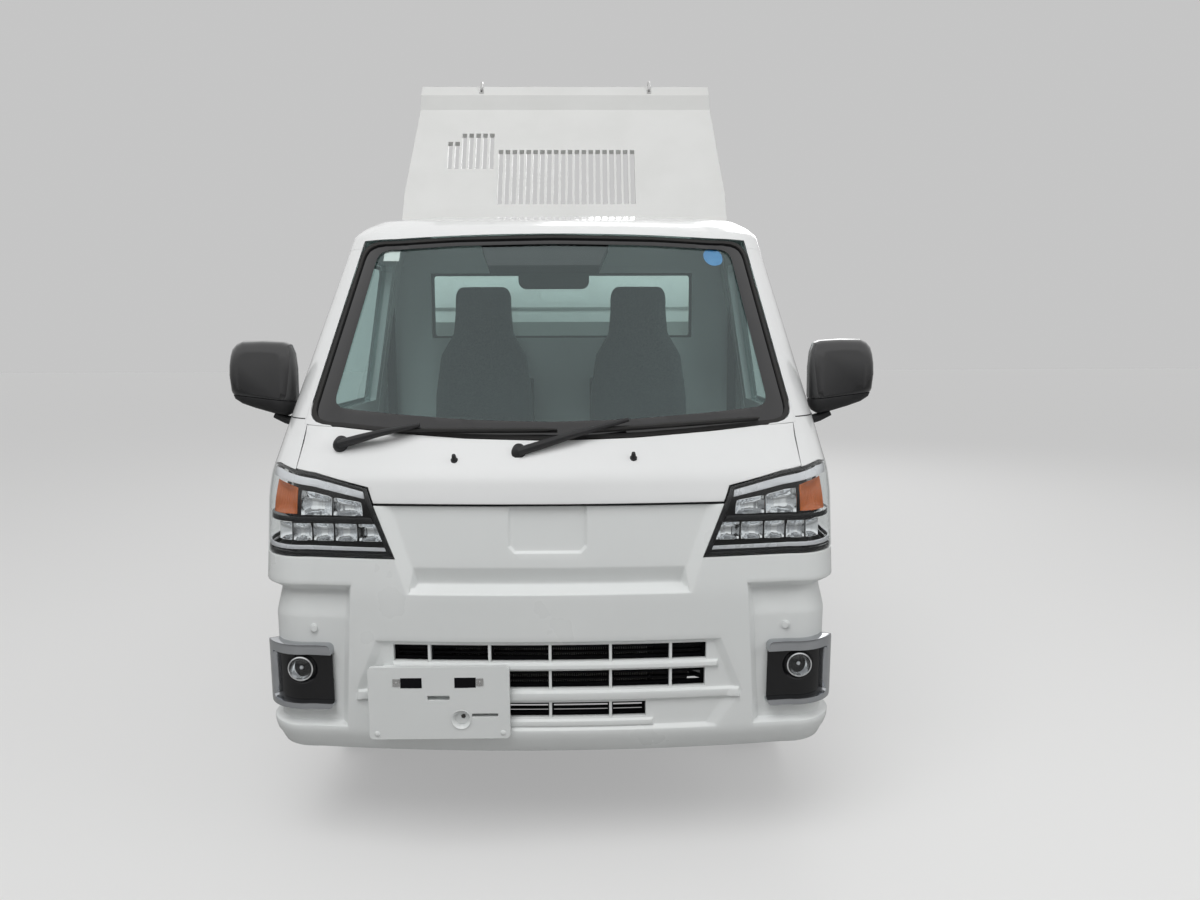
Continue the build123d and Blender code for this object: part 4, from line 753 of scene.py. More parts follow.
def bevel_edges(obj, width, segments, angle):
    """Round the edges sharper than an angle by a width in millimetres."""
    edge = obj.modifiers.new("edges", "BEVEL")
    edge.width = width * MM
    edge.segments = segments
    edge.limit_method = "ANGLE"
    edge.angle_limit = math.radians(angle)


def add_wall(obj, wall):
    """Give a sheet its thickness in millimetres, behind its face."""
    shell = obj.modifiers.new("wall", "SOLIDIFY")
    shell.thickness = wall * MM
    shell.offset = -1
    return shell


def pressed_panel(name, bm, recesses, wall, material, rim=1.2, base=0.0):
    """Lay a flat sheet on the surface with its recesses, give it its wall and round its rim.

    recesses holds (outline, widths, depth) rows, wall is the sheet's thickness and base the depth
    of its face.
    """
    for vert in bm.verts:
        s, z = vert.co.x, vert.co.y
        depth = base
        for outline, widths, amount in recesses:
            depth = depth + press_depth((s, z), outline, widths, amount)
        vert.co = at(*on_skin(s, z, depth))
    bmesh.ops.recalc_face_normals(bm, faces=bm.faces)
    face_front(bm)
    panel = link(bpy.data.objects.new(name, free_mesh(bm, name, material)))
    add_wall(panel, wall).use_even_offset = True
    bevel_edges(panel, rim, 2, 50)
    return baked(panel)


def cut_sheet(outline, holes=(), step=12):
    """Flat sheet with an outline and holes."""
    ss = [s for s, _ in outline]
    zs = [z for _, z in outline]
    bm = grid_sheet(even_lines(min(ss) - 1, max(ss) + 1, step), even_lines(min(zs) - 1, max(zs) + 1, step))
    cut_out(bm, outline, True)
    for hole in holes:
        cut_out(bm, hole)
    return bm


def rounded(s0, s1, z0, z1, radius, steps=4):
    """Anticlockwise rectangle with rounded corners."""
    points = []
    for cs, cz, start in ((s1 - radius, z0 + radius, -90), (s1 - radius, z1 - radius, 0),
                          (s0 + radius, z1 - radius, 90), (s0 + radius, z0 + radius, 180)):
        for step in range(steps + 1):
            angle = math.radians(start + 90 * step / steps)
            points.append((cs + radius * math.cos(angle), cz + radius * math.sin(angle)))
    return points


def hang(piece, body, slot, *replaced):
    """Say what a finished piece rides on and the nodes that it stands for. slot is not used."""
    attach(piece, body)
    if replaced:
        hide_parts(*replaced)
    return piece


print("sheet tools are ready")

# %% [markdown]
# ## Turned pieces, tubes and blocks
#
# Lamps, caps, nuts and wheels are turned: a profile spun about a line. Arms and stays are tubes or
# bars swept between points. Both give clean quads with few faces. Every builder works in the
# truck's millimetres and returns an object at the origin, with its place in its mesh.

# %% Turned pieces, tubes and blocks
def to_object(name, bm, material, bevel=0.0, sharp=35.0, segments=2):
    """Object from a bmesh in millimetres of the truck, with its edges rounded."""
    obj = link(bpy.data.objects.new(name, clean_mesh(place(bm), name, material)))
    if bevel:
        bevel_edges(obj, bevel, segments, 32)
    return baked(obj, sharp)


def build(name, material, slot, *shapes, body="chassis", replaced=(), **edges):
    """One piece from shapes, each a builder with its sizes, hung on its body."""
    bm = bmesh.new()
    for shape, *sizes in shapes:
        shape(bm, *sizes)
    return hang(to_object(name, bm, material, **edges), body, slot, *replaced)


def add_lathe(bm, profile, centre, axis, segments=32):
    """Spin a profile of (radius, along) about a line through a centre. Ends at radius 0 close."""
    axis = Vector(axis).normalized()
    side = axis.orthogonal().normalized()
    other = axis.cross(side)
    turns = [2 * math.pi * i / segments for i in range(segments)]
    rings = []
    for radius, along in profile:
        middle = Vector(centre) + axis * along
        rings.append([bm.verts.new(middle + side * radius * math.cos(a) + other * radius * math.sin(a))
                      for a in (turns if radius > 0 else [0])])
    for first, second in zip(rings, rings[1:]):
        for i in range(segments):
            j = (i + 1) % segments
            corners = [ring[k % len(ring)] for ring, k in ((first, i), (first, j), (second, j), (second, i))]
            if len(set(corners)) > 2:
                bm.faces.new(list(dict.fromkeys(corners)))
    return bm


def add_tube(bm, points, radius, sides=10, flat=1.0, up=(0, 0, 1)):
    """Sweep a round or flattened section through points, closed at both ends. radius may be a list."""
    points = [Vector(p) for p in points]
    radii = radius if isinstance(radius, (list, tuple)) else [radius] * len(points)
    turns = [2 * math.pi * (k + 0.5) / sides for k in range(sides)]
    rings = []
    for i, (point, size) in enumerate(zip(points, radii)):
        along = (points[min(i + 1, len(points) - 1)] - points[max(i - 1, 0)]).normalized()
        across = along.cross(Vector(up)).normalized()
        lift = across.cross(along).normalized()
        rings.append([bm.verts.new(point + across * size * math.cos(a) + lift * size * flat * math.sin(a))
                      for a in turns])
    bridge(bm, rings)
    bm.faces.new(list(reversed(rings[0])))
    bm.faces.new(rings[-1])
    return bm


def add_block(bm, x0, x1, y0, y1, z0, z1):
    """Block between two corners."""
    flat = ((x0, y0), (x1, y0), (x1, y1), (x0, y1))
    corners = [bm.verts.new((x, y, z)) for z in (z0, z1) for x, y in flat]
    for quad in ((0, 3, 2, 1), (4, 5, 6, 7), (0, 1, 5, 4), (1, 2, 6, 5), (2, 3, 7, 6), (3, 0, 4, 7)):
        bm.faces.new([corners[i] for i in quad])
    return bm


def add_prism(bm, outline, axis, start, end):
    """Carry a flat outline along X, Y or Z. The outline gives the two other coordinates in order."""
    order = {"X": (2, 0, 1), "Y": (0, 2, 1), "Z": (0, 1, 2)}[axis]
    rings = []
    for depth in (start, end):
        rings.append([bm.verts.new([(a, b, depth)[k] for k in order]) for a, b in outline])
    bridge(bm, rings)
    bm.faces.new(list(reversed(rings[0])))
    bm.faces.new(rings[1])
    return bm


print("builders are ready")

# %% [markdown]
# ## Trees for what repeats
#
# Tread blocks, wheel nuts, radiator fins and bolts are each one small shape many times over.
# Geometry Nodes place the copies: one tree puts a shape round an axis, one in a row, and one sets a
# bolt on every point of a cloud, turned to the point's own direction. Each tree ends by making the
# copies real and giving them their material, and the result is kept as a plain mesh.

# %% Trees
def start_tree(name, **inputs):
    """New tree with a geometry input and output, and these named inputs of these kinds."""
    tree = bpy.data.node_groups.new(name, "GeometryNodeTree")
    tree.is_modifier = True
    tree.interface.new_socket("Geometry", in_out="OUTPUT", socket_type="NodeSocketGeometry")
    for label, kind in {"Geometry": "Geometry", **inputs}.items():
        tree.interface.new_socket(label.replace("_", " "), in_out="INPUT", socket_type="NodeSocket" + kind)
    return tree, add_node(tree, "NodeGroupInput").outputs


def end_tree(tree, given, source):
    """Make the copies real, give them the Material input and hand them out."""
    real = add_node(tree, "GeometryNodeRealizeInstances", {"Geometry": source}).outputs["Geometry"]
    dress = {"Geometry": real, "Material": given["Material"]}
    dressed = add_node(tree, "GeometryNodeSetMaterial", dress).outputs["Geometry"]
    add_node(tree, "NodeGroupOutput", {"Geometry": dressed})
    return tree


def copies_of(tree, points, shape, rotation=None):
    """Copies of a shape on points."""
    sockets = {"Points": points, "Instance": shape}
    if rotation:
        sockets["Rotation"] = rotation
    return add_node(tree, "GeometryNodeInstanceOnPoints", sockets).outputs["Instances"]


def ring_tree():
    """Copies of the input shape, turned round an axis through a centre."""
    tree, given = start_tree("ring_of_copies", Count="Int", Centre="Vector", Axis="Vector",
                             Material="Material")
    spots = {"Count": given["Count"], "Position": given["Centre"]}
    points = add_node(tree, "GeometryNodePoints", spots).outputs["Points"]
    index = add_node(tree, "GeometryNodeInputIndex").outputs["Index"]
    angle = math_node(tree, "MULTIPLY", math_node(tree, "DIVIDE", index, given["Count"]), 2 * math.pi)
    turn = add_node(tree, "FunctionNodeAxisAngleToRotation", {"Axis": given["Axis"], "Angle": angle})
    return end_tree(tree, given, copies_of(tree, points, given["Geometry"], turn.outputs["Rotation"]))


def row_tree():
    """Copies of the input shape in a row, one step apart."""
    tree, given = start_tree("row_of_copies", Count="Int", Step="Vector", Material="Material")
    line = add_node(tree, "GeometryNodeMeshLine", {"Count": given["Count"], "Offset": given["Step"]})
    return end_tree(tree, given, copies_of(tree, line.outputs["Mesh"], given["Geometry"]))


def bolt_tree():
    """Hexagon head on a washer at each input point, turned to the point's facing attribute."""
    tree, given = start_tree("bolts_on_points", Head_radius="Float", Head_height="Float",
                             Washer_radius="Float", Material="Material")
    height = given["Head height"]
    head = add_node(tree, "GeometryNodeMeshCylinder", {"Vertices": 6, "Radius": given["Head radius"],
                                                       "Depth": height})
    washer = add_node(tree, "GeometryNodeMeshCylinder", {"Vertices": 16, "Radius": given["Washer radius"],
                                                         "Depth": 0.0024})
    lift = add_node(tree, "ShaderNodeCombineXYZ", {"Z": math_node(tree, "MULTIPLY", height, 0.5)})
    raised = add_node(tree, "GeometryNodeTransform", {"Geometry": head.outputs["Mesh"],
                                                      "Translation": lift.outputs["Vector"]})
    both = add_node(tree, "GeometryNodeJoinGeometry", {"Geometry": raised.outputs["Geometry"]})
    plug(tree, both, {"Geometry": washer.outputs["Mesh"]})
    facing = add_node(tree, "GeometryNodeInputNamedAttribute", {"Name": "facing"}, data_type="FLOAT_VECTOR")
    facing = facing.outputs["Attribute"]
    turn = add_node(tree, "FunctionNodeAlignRotationToVector", {"Vector": facing}, axis="Z")
    shape = both.outputs["Geometry"]
    return end_tree(tree, given, copies_of(tree, given["Geometry"], shape, turn.outputs["Rotation"]))


RING = ring_tree()
ROW = row_tree()
BOLTS = bolt_tree()


def grown(name, mesh, tree, **values):
    """Run a tree on a mesh and keep the result as a plain mesh object."""
    obj = link(bpy.data.objects.new(name, mesh))
    modifier = obj.modifiers.new("repeat", "NODES")
    modifier.node_group = tree
    for item in tree.interface.items_tree:
        label = item.name.replace(" ", "_")
        if item.in_out == "INPUT" and label in values:
            modifier[item.identifier] = values[label]
    return baked(obj)


def ring_of(name, bm, count, centre, axis, material):
    """Copies of a shape, drawn in place, round an axis through a centre."""
    for vert in bm.verts:
        vert.co = (vert.co - Vector(centre)) * MM
    mesh = clean_mesh(bm, name)
    return grown(name, mesh, RING, Count=count, Centre=at(*centre), Axis=Vector(axis), Material=material)


def row_of(name, bm, count, step, material):
    """Copies of a shape, drawn in place, each one step further."""
    mesh = clean_mesh(place(bm), name)
    return grown(name, mesh, ROW, Count=count, Step=Vector(step) * MM, Material=material)


def bolts_at(name, spots, size, material):
    """Bolts at (point, direction) spots in the truck's millimetres, of a size across the flats."""
    mesh = bpy.data.meshes.new(name)
    mesh.from_pydata([at(*point) for point, _ in spots], [], [])
    facing = mesh.attributes.new("facing", "FLOAT_VECTOR", "POINT")
    for item, (_, direction) in zip(facing.data, spots):
        item.vector = direction
    return grown(name, mesh, BOLTS, Head_radius=size * 0.577 * MM, Head_height=size * 0.6 * MM,
                 Washer_radius=size * 0.85 * MM, Material=material)


print("trees", [tree.name for tree in (RING, ROW, BOLTS)])

# %% [markdown]
# ## The bumper cover
#
# This is the face of the truck, one large moulding. From the top down it has a garnish that lies
# back between the lamps and curls under to a groove, a shelf that leads the eye forward again, two
# corner pockets whose bulges slope up under an overhang, a shallow bed round the grille rows with
# two raised fins, and a lower lip. Each is a pressed outline in the same flat sheet. Sculpting it
# by hand would lose the crisp lines, and boxes put on top would show seams.

# %% Outlines on the front
ARCH_CENTRE = (745, 268)
ARCH_CUT = 333
PANEL_GAP = 3
BUMPER_TOP = 922
DOOR_FRONT = 360
GRILLE_ROWS = [(-395, 395, 527, 570), (-395, 392, 456, 503), (-395, 241, 381, 420)]
GRILLE_BARS = (-304, -152, 0, 152, 304)
BAR_WIDTH = 7
LAMP_OUTLINE = [(386, 790), (722, 794), (700, 1015), (455, 961)]
LAMP_SIDE = 330


def side_s(y, z):
    """The s of a point of the side that lies at a station."""
    return FRONT_SPAN + CORNER_SPAN + y - soft_row(z)[4]


def front_outline(points):
    """Outline given as x and z, turned into s and z."""
    return [(front_s(x, z), z) for x, z in points]


def flipped(outline):
    """The same outline on the other side, still anticlockwise."""
    return [(-s, z) for s, z in reversed(outline)]


SIDES = ((1, "left"), (-1, "right"))
TURNS = ((list, "left"), (flipped, "right"))


def lamp_outline(grow):
    """Headlamp outline in s and z on the positive side, grown by a gap."""
    (x0, z0), (x1, z1), (x2, z2), (x3, z3) = LAMP_OUTLINE
    return [
        (front_s(x0, z0) - grow, z0 - grow),
        (front_s(x1, z1), z1 - grow),
        (side_s(LAMP_SIDE, z1 + 6) + grow, z1 + 6 - grow),
        (side_s(LAMP_SIDE, z2 - 12) + grow, z2 - 12 + grow),
        (front_s(x2, z2), z2 + grow),
        (front_s(x3, z3) - grow * 0.4, z3 + grow),
    ]


def bumper_outline():
    """Edge of the cover: along the seam, down the door, round the arch and along the skirt."""
    half = [(side_s(DOOR_FRONT - PANEL_GAP, BUMPER_TOP - PANEL_GAP), BUMPER_TOP - PANEL_GAP)]
    half.append((side_s(DOOR_FRONT - PANEL_GAP, 617), 617))
    half.append((side_s(742, 617), 617))
    for step in range(13):
        angle = math.radians(1 + step * 85.7 / 12)
        y = ARCH_CENTRE[0] - ARCH_CUT * math.sin(angle)
        z = ARCH_CENTRE[1] + ARCH_CUT * math.cos(angle)
        half.append((side_s(y, z), z))
    half[-1] = (half[-1][0], SKIN_ROWS[0][0])
    return half + flipped(half)


print("bumper outline points", len(bumper_outline()))

# %% Recesses of the cover
garnish = front_outline([(-358, 698), (358, 698), (446, 960), (-446, 960)])
groove = front_outline([(-352, 700), (352, 700), (340, 770), (-340, 770)])
badge = front_outline([(-88, 801), (80, 801), (96, 818), (96, 940), (-104, 940), (-104, 818)])
bed = front_outline([(-450, 348), (425, 348), (490, 440), (433, 582), (-440, 582), (-497, 440)])
upper_fin = front_outline([(-398, 506), (426, 506), (426, 524), (-398, 524)])
lower_fin = front_outline([(-492, 424), (482, 424), (480, 452), (-488, 452)])
sill = front_outline([(-300, 356), (262, 356), (262, 377), (-300, 377)])
pocket = [(front_s(515, 352), 352), (945, 352), (945, 723), (front_s(494, 723), 723)]
overhang = [(front_s(501, 626), 626), (945, 626), (945, 723), (front_s(494, 723), 723)]
bumper_recesses = [
    (garnish, (28, 38, 5, 38), 13),
    (groove, (26, 14, 44, 14), 18),
    (badge, (8, 8, 8, 3, 8, 8), 6),
    (bed, (12, 34, 24, 9, 24, 34), 9),
    (upper_fin, (4, 6, 4, 6), -8),
    (lower_fin, (5, 6, 5, 6), -8),
    (sill, (5, 6, 5, 6), -6),
    (pocket, (10, 30, 23, 22), 20),
    (overhang, (74, 30, 20, 22), 15),
]


def twin(recess):
    """The same recess on the other side."""
    outline, widths, depth = recess
    return flipped(outline), tuple(reversed(widths[:-1])) + widths[-1:], depth


bumper_recesses += [twin(recess) for recess in bumper_recesses[-2:]]
print("recesses", len(bumper_recesses))

# %% Cut, press and hang the cover
def between_bars(start, end, bars, width):
    """Open stretches from start to end, between bars of one width."""
    edges = [start]
    for centre in bars:
        if start < centre < end:
            edges += [centre - width / 2, centre + width / 2]
    edges.append(end)
    return list(zip(edges[::2], edges[1::2]))


def make_bumper_cover():
    """The whole cover as one pressed sheet."""
    bm = grid_sheet(even_lines(-1360, 1360, 17), even_lines(SKIN_ROWS[0][0], BUMPER_TOP, 17))
    cut_out(bm, bumper_outline(), True)
    for lamp in (lamp_outline(PANEL_GAP), flipped(lamp_outline(PANEL_GAP))):
        cut_out(bm, lamp)
    for outline, widths, _ in bumper_recesses:
        cut_recess(bm, outline, widths)
    for x0, x1, z0, z1 in GRILLE_ROWS:
        for left, right in between_bars(x0, x1, GRILLE_BARS, BAR_WIDTH):
            cut_out(bm, front_outline([(left, z0), (right, z0), (right, z1), (left, z1)]))
    cover = pressed_panel("bumper_cover", bm, bumper_recesses, 14, bumper_white)
    return hang(cover, "chassis", "bumper_white", "bumper")


bumper_cover = make_bumper_cover()
print("bumper cover faces", len(bumper_cover.data.polygons))

# %% [markdown]
# ## The service panel
#
# Below the windscreen a panel gives access to the washer bottle and the heater. It carries on the
# bumper's surface, leans back above a soft crease at lamp height, and ends at the glass. It needs
# no recess, only its outline.

# %% Service panel
PANEL_HALF = 645
SCREEN_FOOT = [(-650, 1110), (-430, 1095), (-215, 1082), (0, 1077), (215, 1082), (430, 1095), (650, 1110)]


def make_service_panel():
    """Painted panel between the bumper's seam and the windscreen."""
    edge = PANEL_HALF - 1
    foot = [(max(-edge, min(edge, x)), z - 4) for x, z in reversed(SCREEN_FOOT)]
    (lx3, lz3), (lx2, lz2) = LAMP_OUTLINE[3], LAMP_OUTLINE[2]
    lamp_z = lz3 + (lz2 - lz3) * (edge - lx3) / (lx2 - lx3) + PANEL_GAP
    low = BUMPER_TOP + PANEL_GAP
    lx0, lz0 = LAMP_OUTLINE[0]
    lamp_x = lx0 + (lx3 - lx0) * (low - lz0) / (lz3 - lz0) - PANEL_GAP
    outline = [(-lamp_x, low), (lamp_x, low), (lx3 - PANEL_GAP, lz3 + PANEL_GAP), (edge, lamp_z)]
    outline += foot + [(-edge, lamp_z), (-lx3 + PANEL_GAP, lz3 + PANEL_GAP)]
    bm = grid_sheet(even_lines(-700, 700, 20), even_lines(low - 5, 1120, 9))
    cut_out(bm, front_outline(outline), True)
    panel = pressed_panel("service_panel", bm, [], 14, paint_white)
    return hang(panel, "chassis", "body_white", "front_panel")


service_panel = make_service_panel()
print("service panel faces", len(service_panel.data.polygons))

# %% [markdown]
# ## The roof's crown
#
# The construction gives the roof as a few plain slopes. The real pressing climbs slowly from the
# windscreen to its highest line above the rear window, and it has no corners, because a roof with a
# crown drums less. A copy of the roof is merged, cut into short strips, lowered by a share that
# fades out towards the rear, and smoothed away from its edges. Its rims stay where the doors, the
# glass and the rear wall need them.

# %% Roof
CROWN_START = 1650
CROWN_SHARE = 0.47
HEADER = 640
ROOF_RIM = 18
RIBS_START = 1040
RIBS_HALF = 300


def crowned(point):
    """Height of a roof point once the roof's front half is lowered."""
    height, station = point.z / MM, (point.y - STATION_ZERO) / MM
    if height <= CROWN_START:
        return point.z
    back = (station - HEADER) / (CAB_REAR - HEADER)
    share = CROWN_SHARE + (1 - CROWN_SHARE) * min(1.0, max(0.0, back))
    return (CROWN_START + (height - CROWN_START) * share) * MM


def make_roof():
    """Roof skin with a soft crown, from a merged copy of the roof."""
    bm = bmesh.new()
    bm.from_mesh(nodes["cab_roof"].data)
    bmesh.ops.remove_doubles(bm, verts=bm.verts, dist=0.0001)
    bmesh.ops.dissolve_limit(bm, angle_limit=math.radians(1), verts=bm.verts, edges=bm.edges)
    cuts = [((0, station, 0), (0, 1, 0)) for station in range(660, 1340, 34)]
    cuts += [((0, 0, height), (0, 0, 1)) for height in range(1612, 1780, 14)]
    cuts += [((x, 0, 0), (1, 0, 0)) for x in range(-630, 631, 42)]
    for place, direction in cuts:
        bmesh.ops.bisect_plane(bm, geom=bm.verts[:] + bm.edges[:] + bm.faces[:], dist=0.0002,
                               plane_co=at(*place), plane_no=direction)
    for vert in bm.verts:
        vert.co.z = crowned(vert.co)
    low = (CROWN_START + ROOF_RIM) * MM
    free = []
    for vert in bm.verts:
        station = (vert.co.y - STATION_ZERO) / MM
        ribbed = station > RIBS_START and abs(vert.co.x) < RIBS_HALF * MM
        folded = any(edge.calc_face_angle(0) > 0.7 for edge in vert.link_edges)
        if vert.co.z > low and station < CAB_REAR - ROOF_RIM and not ribbed and not folded:
            free.append(vert)
    for _ in range(12):
        bmesh.ops.smooth_vert(bm, verts=free, factor=0.5, use_axis_x=True, use_axis_y=True, use_axis_z=True)
    bmesh.ops.triangulate(bm, faces=[face for face in bm.faces if len(face.verts) > 4])
    roof = baked(link(bpy.data.objects.new("roof_skin", free_mesh(bm, "roof_skin", paint_white))), 32)
    return hang(roof, "chassis", "body_white", "cab_roof")


roof_skin = make_roof()
print("roof faces", len(roof_skin.data.polygons))

# %% [markdown]
# ## Headlamps
#
# A modern truck lamp is a clear cover over a small stage. Behind the cover a gloss black rim runs
# round the outline, a light grey trim follows its top edge, a turn signal sits in the outer top
# corner, two fluted reflectors stand beside it, and five small cells lie in a row under a black
# blade. A thin bright strip closes it below. The reflectors are bowls pressed out of the same
# surface, with flutes across them, so that they break up whatever they mirror.

# %% Reflector bowls
REFLECTOR_LINES = 16


def add_bowl(bm, outline, rim, bowl, flutes):
    """Fluted bowl over a four-cornered outline given anticlockwise from its lower left, in s and z."""
    (s0, z0), (s1, z1), (s2, z2), (s3, z3) = outline
    rows = []
    for j in range(REFLECTOR_LINES + 1):
        v = j / REFLECTOR_LINES
        row = []
        for i in range(2 * REFLECTOR_LINES + 1):
            u = i / (2 * REFLECTOR_LINES)
            s = (s0 * (1 - u) + s1 * u) * (1 - v) + (s3 * (1 - u) + s2 * u) * v
            z = (z0 * (1 - u) + z1 * u) * (1 - v) + (z3 * (1 - u) + z2 * u) * v
            cup = (1 - (2 * u - 1) ** 2) * (1 - (2 * v - 1) ** 4)
            flute = 1.6 * abs(math.sin(math.pi * flutes * u)) * cup ** 0.5
            row.append(bm.verts.new(on_skin(s, z, rim + (bowl - rim) * cup - flute)))
        rows.append(row)
    bridge(bm, rows, False)


def solid_sheet(name, bm, material, wall):
    """Object from a sheet in millimetres, with a thin wall behind it."""
    place(bm).normal_update()
    face_front(bm)
    obj = link(bpy.data.objects.new(name, free_mesh(bm, name, material)))
    add_wall(obj, wall)
    return baked(obj, 50)


LAMP_CELLS = [
    ((470, 893), (545, 893), (545, 938), (474, 926)),
    ((550, 893), (628, 893), (628, 956), (550, 939)),
]
LOWER_CELLS = (418, 482, 543, 600, 654, 702)
SIGNAL = ((638, 896), (714, 896), (704, 978), (638, 962))
LAMP_RIM = (10, 10, 6, 4.5, 4.5, 12)
silver_trim = finish("silver_trim", (0.76, 0.76, 0.79), (0.70, 0.70, 0.73), (0.22, 0.34), metal=0.2,
                     coat=0.5, grain=300, relief=0.00001, cloud=14)
reflector = finish("reflector", (0.88, 0.89, 0.90), (0.80, 0.81, 0.83), (0.06, 0.14), metal=1.0,
                   grain=120, relief=0.00001, cloud=20)


def lamp_pieces(turn, suffix):
    """All the pieces of one headlamp. turn flips an outline onto the lamp's side."""
    outline = lamp_outline(0)
    sheet = cut_sheet(turn(outline), step=14)
    cover = pressed_panel("lamp_cover_" + suffix, sheet, [], 2.5, lamp_clear, rim=0.8)
    hang(cover, "chassis", "lamp_lens", *(["headlamps"] if suffix == "left" else []))
    ring = cut_sheet(turn(outline), [turn(inset_outline(outline, LAMP_RIM))], 14)
    rim = pressed_panel("lamp_rim_" + suffix, ring, [], 9, gloss_black, rim=0.8, base=3.2)
    hang(rim, "chassis", "gloss_black")
    top = front_outline([(464, 936), (702, 983), (700, 1005), (466, 953)])
    top = top[:2] + [(side_s(300, 990), 983), (side_s(300, 1000), 998)] + top[2:]
    low = front_outline([(400, 806), (722, 809)]) + [(side_s(300, 815), 812), (side_s(300, 815), 823)]
    low += front_outline([(720, 820), (406, 815)])
    blade = front_outline([(440, 876), (722, 876)]) + [(side_s(300, 885), 878), (side_s(300, 885), 890)]
    blade += front_outline([(722, 889), (447, 889)])
    for label, shape, step, wall, material, base, slot in (
            ("back", lamp_outline(-1), 18, 3, black_plastic, 56, "black_trim"),
            ("top_trim", top, 12, 5, silver_trim, 7, "rim_silver"),
            ("foot_strip", low, 12, 4, silver_trim, 5, "rim_silver"),
            ("blade", blade, 12, 34, gloss_black, 8, "gloss_black")):
        name = "lamp_%s_%s" % (label, suffix)
        sheet = cut_sheet(turn(shape), step=step)
        hang(pressed_panel(name, sheet, [], wall, material, base=base), "chassis", slot)
    cells = bmesh.new()
    for cell in LAMP_CELLS:
        add_bowl(cells, turn(front_outline(cell)), 14, 46, 7)
    for left, right in zip(LOWER_CELLS, LOWER_CELLS[1:]):
        quad = front_outline([(left + 3, 830), (right - 3, 830), (right - 1, 872), (left + 5, 872)])
        add_bowl(cells, turn(quad), 16, 40, 4)
    hang(solid_sheet("lamp_reflectors_" + suffix, cells, reflector, 1.2), "chassis", "rim_silver")
    signal = bmesh.new()
    add_bowl(signal, turn(front_outline(SIGNAL)), 9, 22, 9)
    hang(solid_sheet("lamp_signal_" + suffix, signal, lamp_orange, 2), "chassis", "lamp_lens")


for turn, suffix in TURNS:
    lamp_pieces(turn, suffix)
print("headlamps are in")

# %% [markdown]
# ## Fog lamps
#
# Each sits in a bright frame in its corner pocket: broad along the top, the outer side and the
# bottom, and nearly nothing on the inner side. In the frame lies a gloss black dish, and in the
# dish a small round lamp that looks straight ahead, with a bulb in a bright bowl behind its cover.

# %% Fog lamps and sensor caps
FOG_X = 637
FOG_Z = 499
FOG_RADIUS = 29
FOG_SPAN = 41
# Painted reflection: the frame's chrome is coloured much darker than chrome, standing in for the dark ground
# that it would mirror, which the pale floor doesn't give.
fog_chrome = finish("fog_chrome", (0.50, 0.515, 0.535), (0.43, 0.445, 0.465), (0.07, 0.13), metal=1.0,
                    grain=100, relief=0.000004, cloud=12)


def fog_sheet(x0, x1, z0, z1, radius):
    """Rounded outline round the fog lamp, given by x and height."""
    return rounded(front_s(x0, 480), front_s(x1, 480), z0, z1, radius)


def fog_lamp(side, turn, suffix):
    """Frame, dish, bowl, bulb and cover of one fog lamp."""
    ring = cut_sheet(turn(fog_sheet(553, 728, 398, 566, 13)), [turn(fog_sheet(540, 713, 413, 541, 12))], 10)
    frame_piece = pressed_panel("fog_frame_" + suffix, ring, [], 25, fog_chrome, rim=3, base=-5)
    hang(frame_piece, "chassis", "fog_bezel", *(["fog_lamps"] if side > 0 else []))
    seat = turn([(front_s(FOG_X, FOG_Z) + FOG_SPAN * math.cos(a), FOG_Z + FOG_SPAN * math.sin(a))
                 for a in [2 * math.pi * i / 20 for i in range(20)]])
    bm = cut_sheet(turn(fog_sheet(554, 715, 409, 543, 9)), step=8)
    cut_recess(bm, seat, (10,) * 20)
    dish = pressed_panel("fog_dish_" + suffix, bm, [(seat, (10,) * 20, 9)], 3, gloss_black, base=9)
    hang(dish, "chassis", "gloss_black")
    centre = (side * FOG_X, skin_point(front_s(side * FOG_X, FOG_Z), FOG_Z).y + 16, FOG_Z)
    rim = FOG_RADIUS
    for label, material, slot, profile, segments in (
            ("bowl", reflector, "fog_bezel", [(rim + 3, 20), (rim + 3, -9), (rim, -10), (rim - 1, -8),
                                              (rim - 5, 2), (16, 10), (6, 14), (0, 14)], 36),
            ("bulb", silver_trim, "fog_bezel", [(0, -3), (4, -1), (5.5, 3), (5.5, 13)], 20),
            ("cover", lamp_clear, "lamp_lens", [(0, -15), (12, -14), (22, -11.5), (rim - 1, -8),
                                                (rim - 2, -6), (0, -12)], 36)):
        shape = (add_lathe, profile, centre, (0, 1, 0), segments)
        build("fog_%s_%s" % (label, suffix), material, slot, shape)


for (side, suffix), (turn, _) in zip(SIDES, TURNS):
    fog_lamp(side, turn, suffix)
CAP = [(0, -9), (8, -9), (8.5, -8), (8.5, -5.5), (10.5, -6), (11, -5), (11, 6)]
caps = [(add_lathe, CAP, on_skin(front_s(side * 604, 603), 603, 22), (side * 0.25, 1, 0), 28)
        for side in (1, -1)]
build("sensor_caps", bumper_white, "bumper_white", *caps)
print("fog lamps and sensor caps are in")

# %% [markdown]
# ## Windscreen, frit and what hangs behind it
#
# The pane itself comes with the frame. What makes it read as a windscreen is its edge: a rubber
# moulding in the body's rebate, and a fired black border, the frit. The border widens at the top
# into a dark field, behind which the camera and rain sensor box hides. The mirror hangs below it. A
# maker prints the frit on the inside. Here it is a thin sheet on the pane's face, because behind the
# glass the sky's reflection would wash it out.

# %% Windscreen edge, sensor box and mirror
SCREEN_HEAD = [(580, 1625), (300, 1638), (0, 1643), (-300, 1638), (-580, 1625)]
GLASS_BACK = 15.2
GLASS_FACE = 10.0
SCREEN_CORNER = 52
SCREEN_EDGE = SCREEN_FOOT + SCREEN_HEAD
FRIT_WIDTHS = [46] * 6 + [44] + [26] * 4 + [44]


def bent(first, corner, last, steps):
    """Points of a soft bend from first to last, drawn towards the corner."""
    shares = [step / steps for step in range(steps + 1)]
    return [tuple(first.lerp(corner, share).lerp(corner.lerp(last, share), share)) for share in shares]


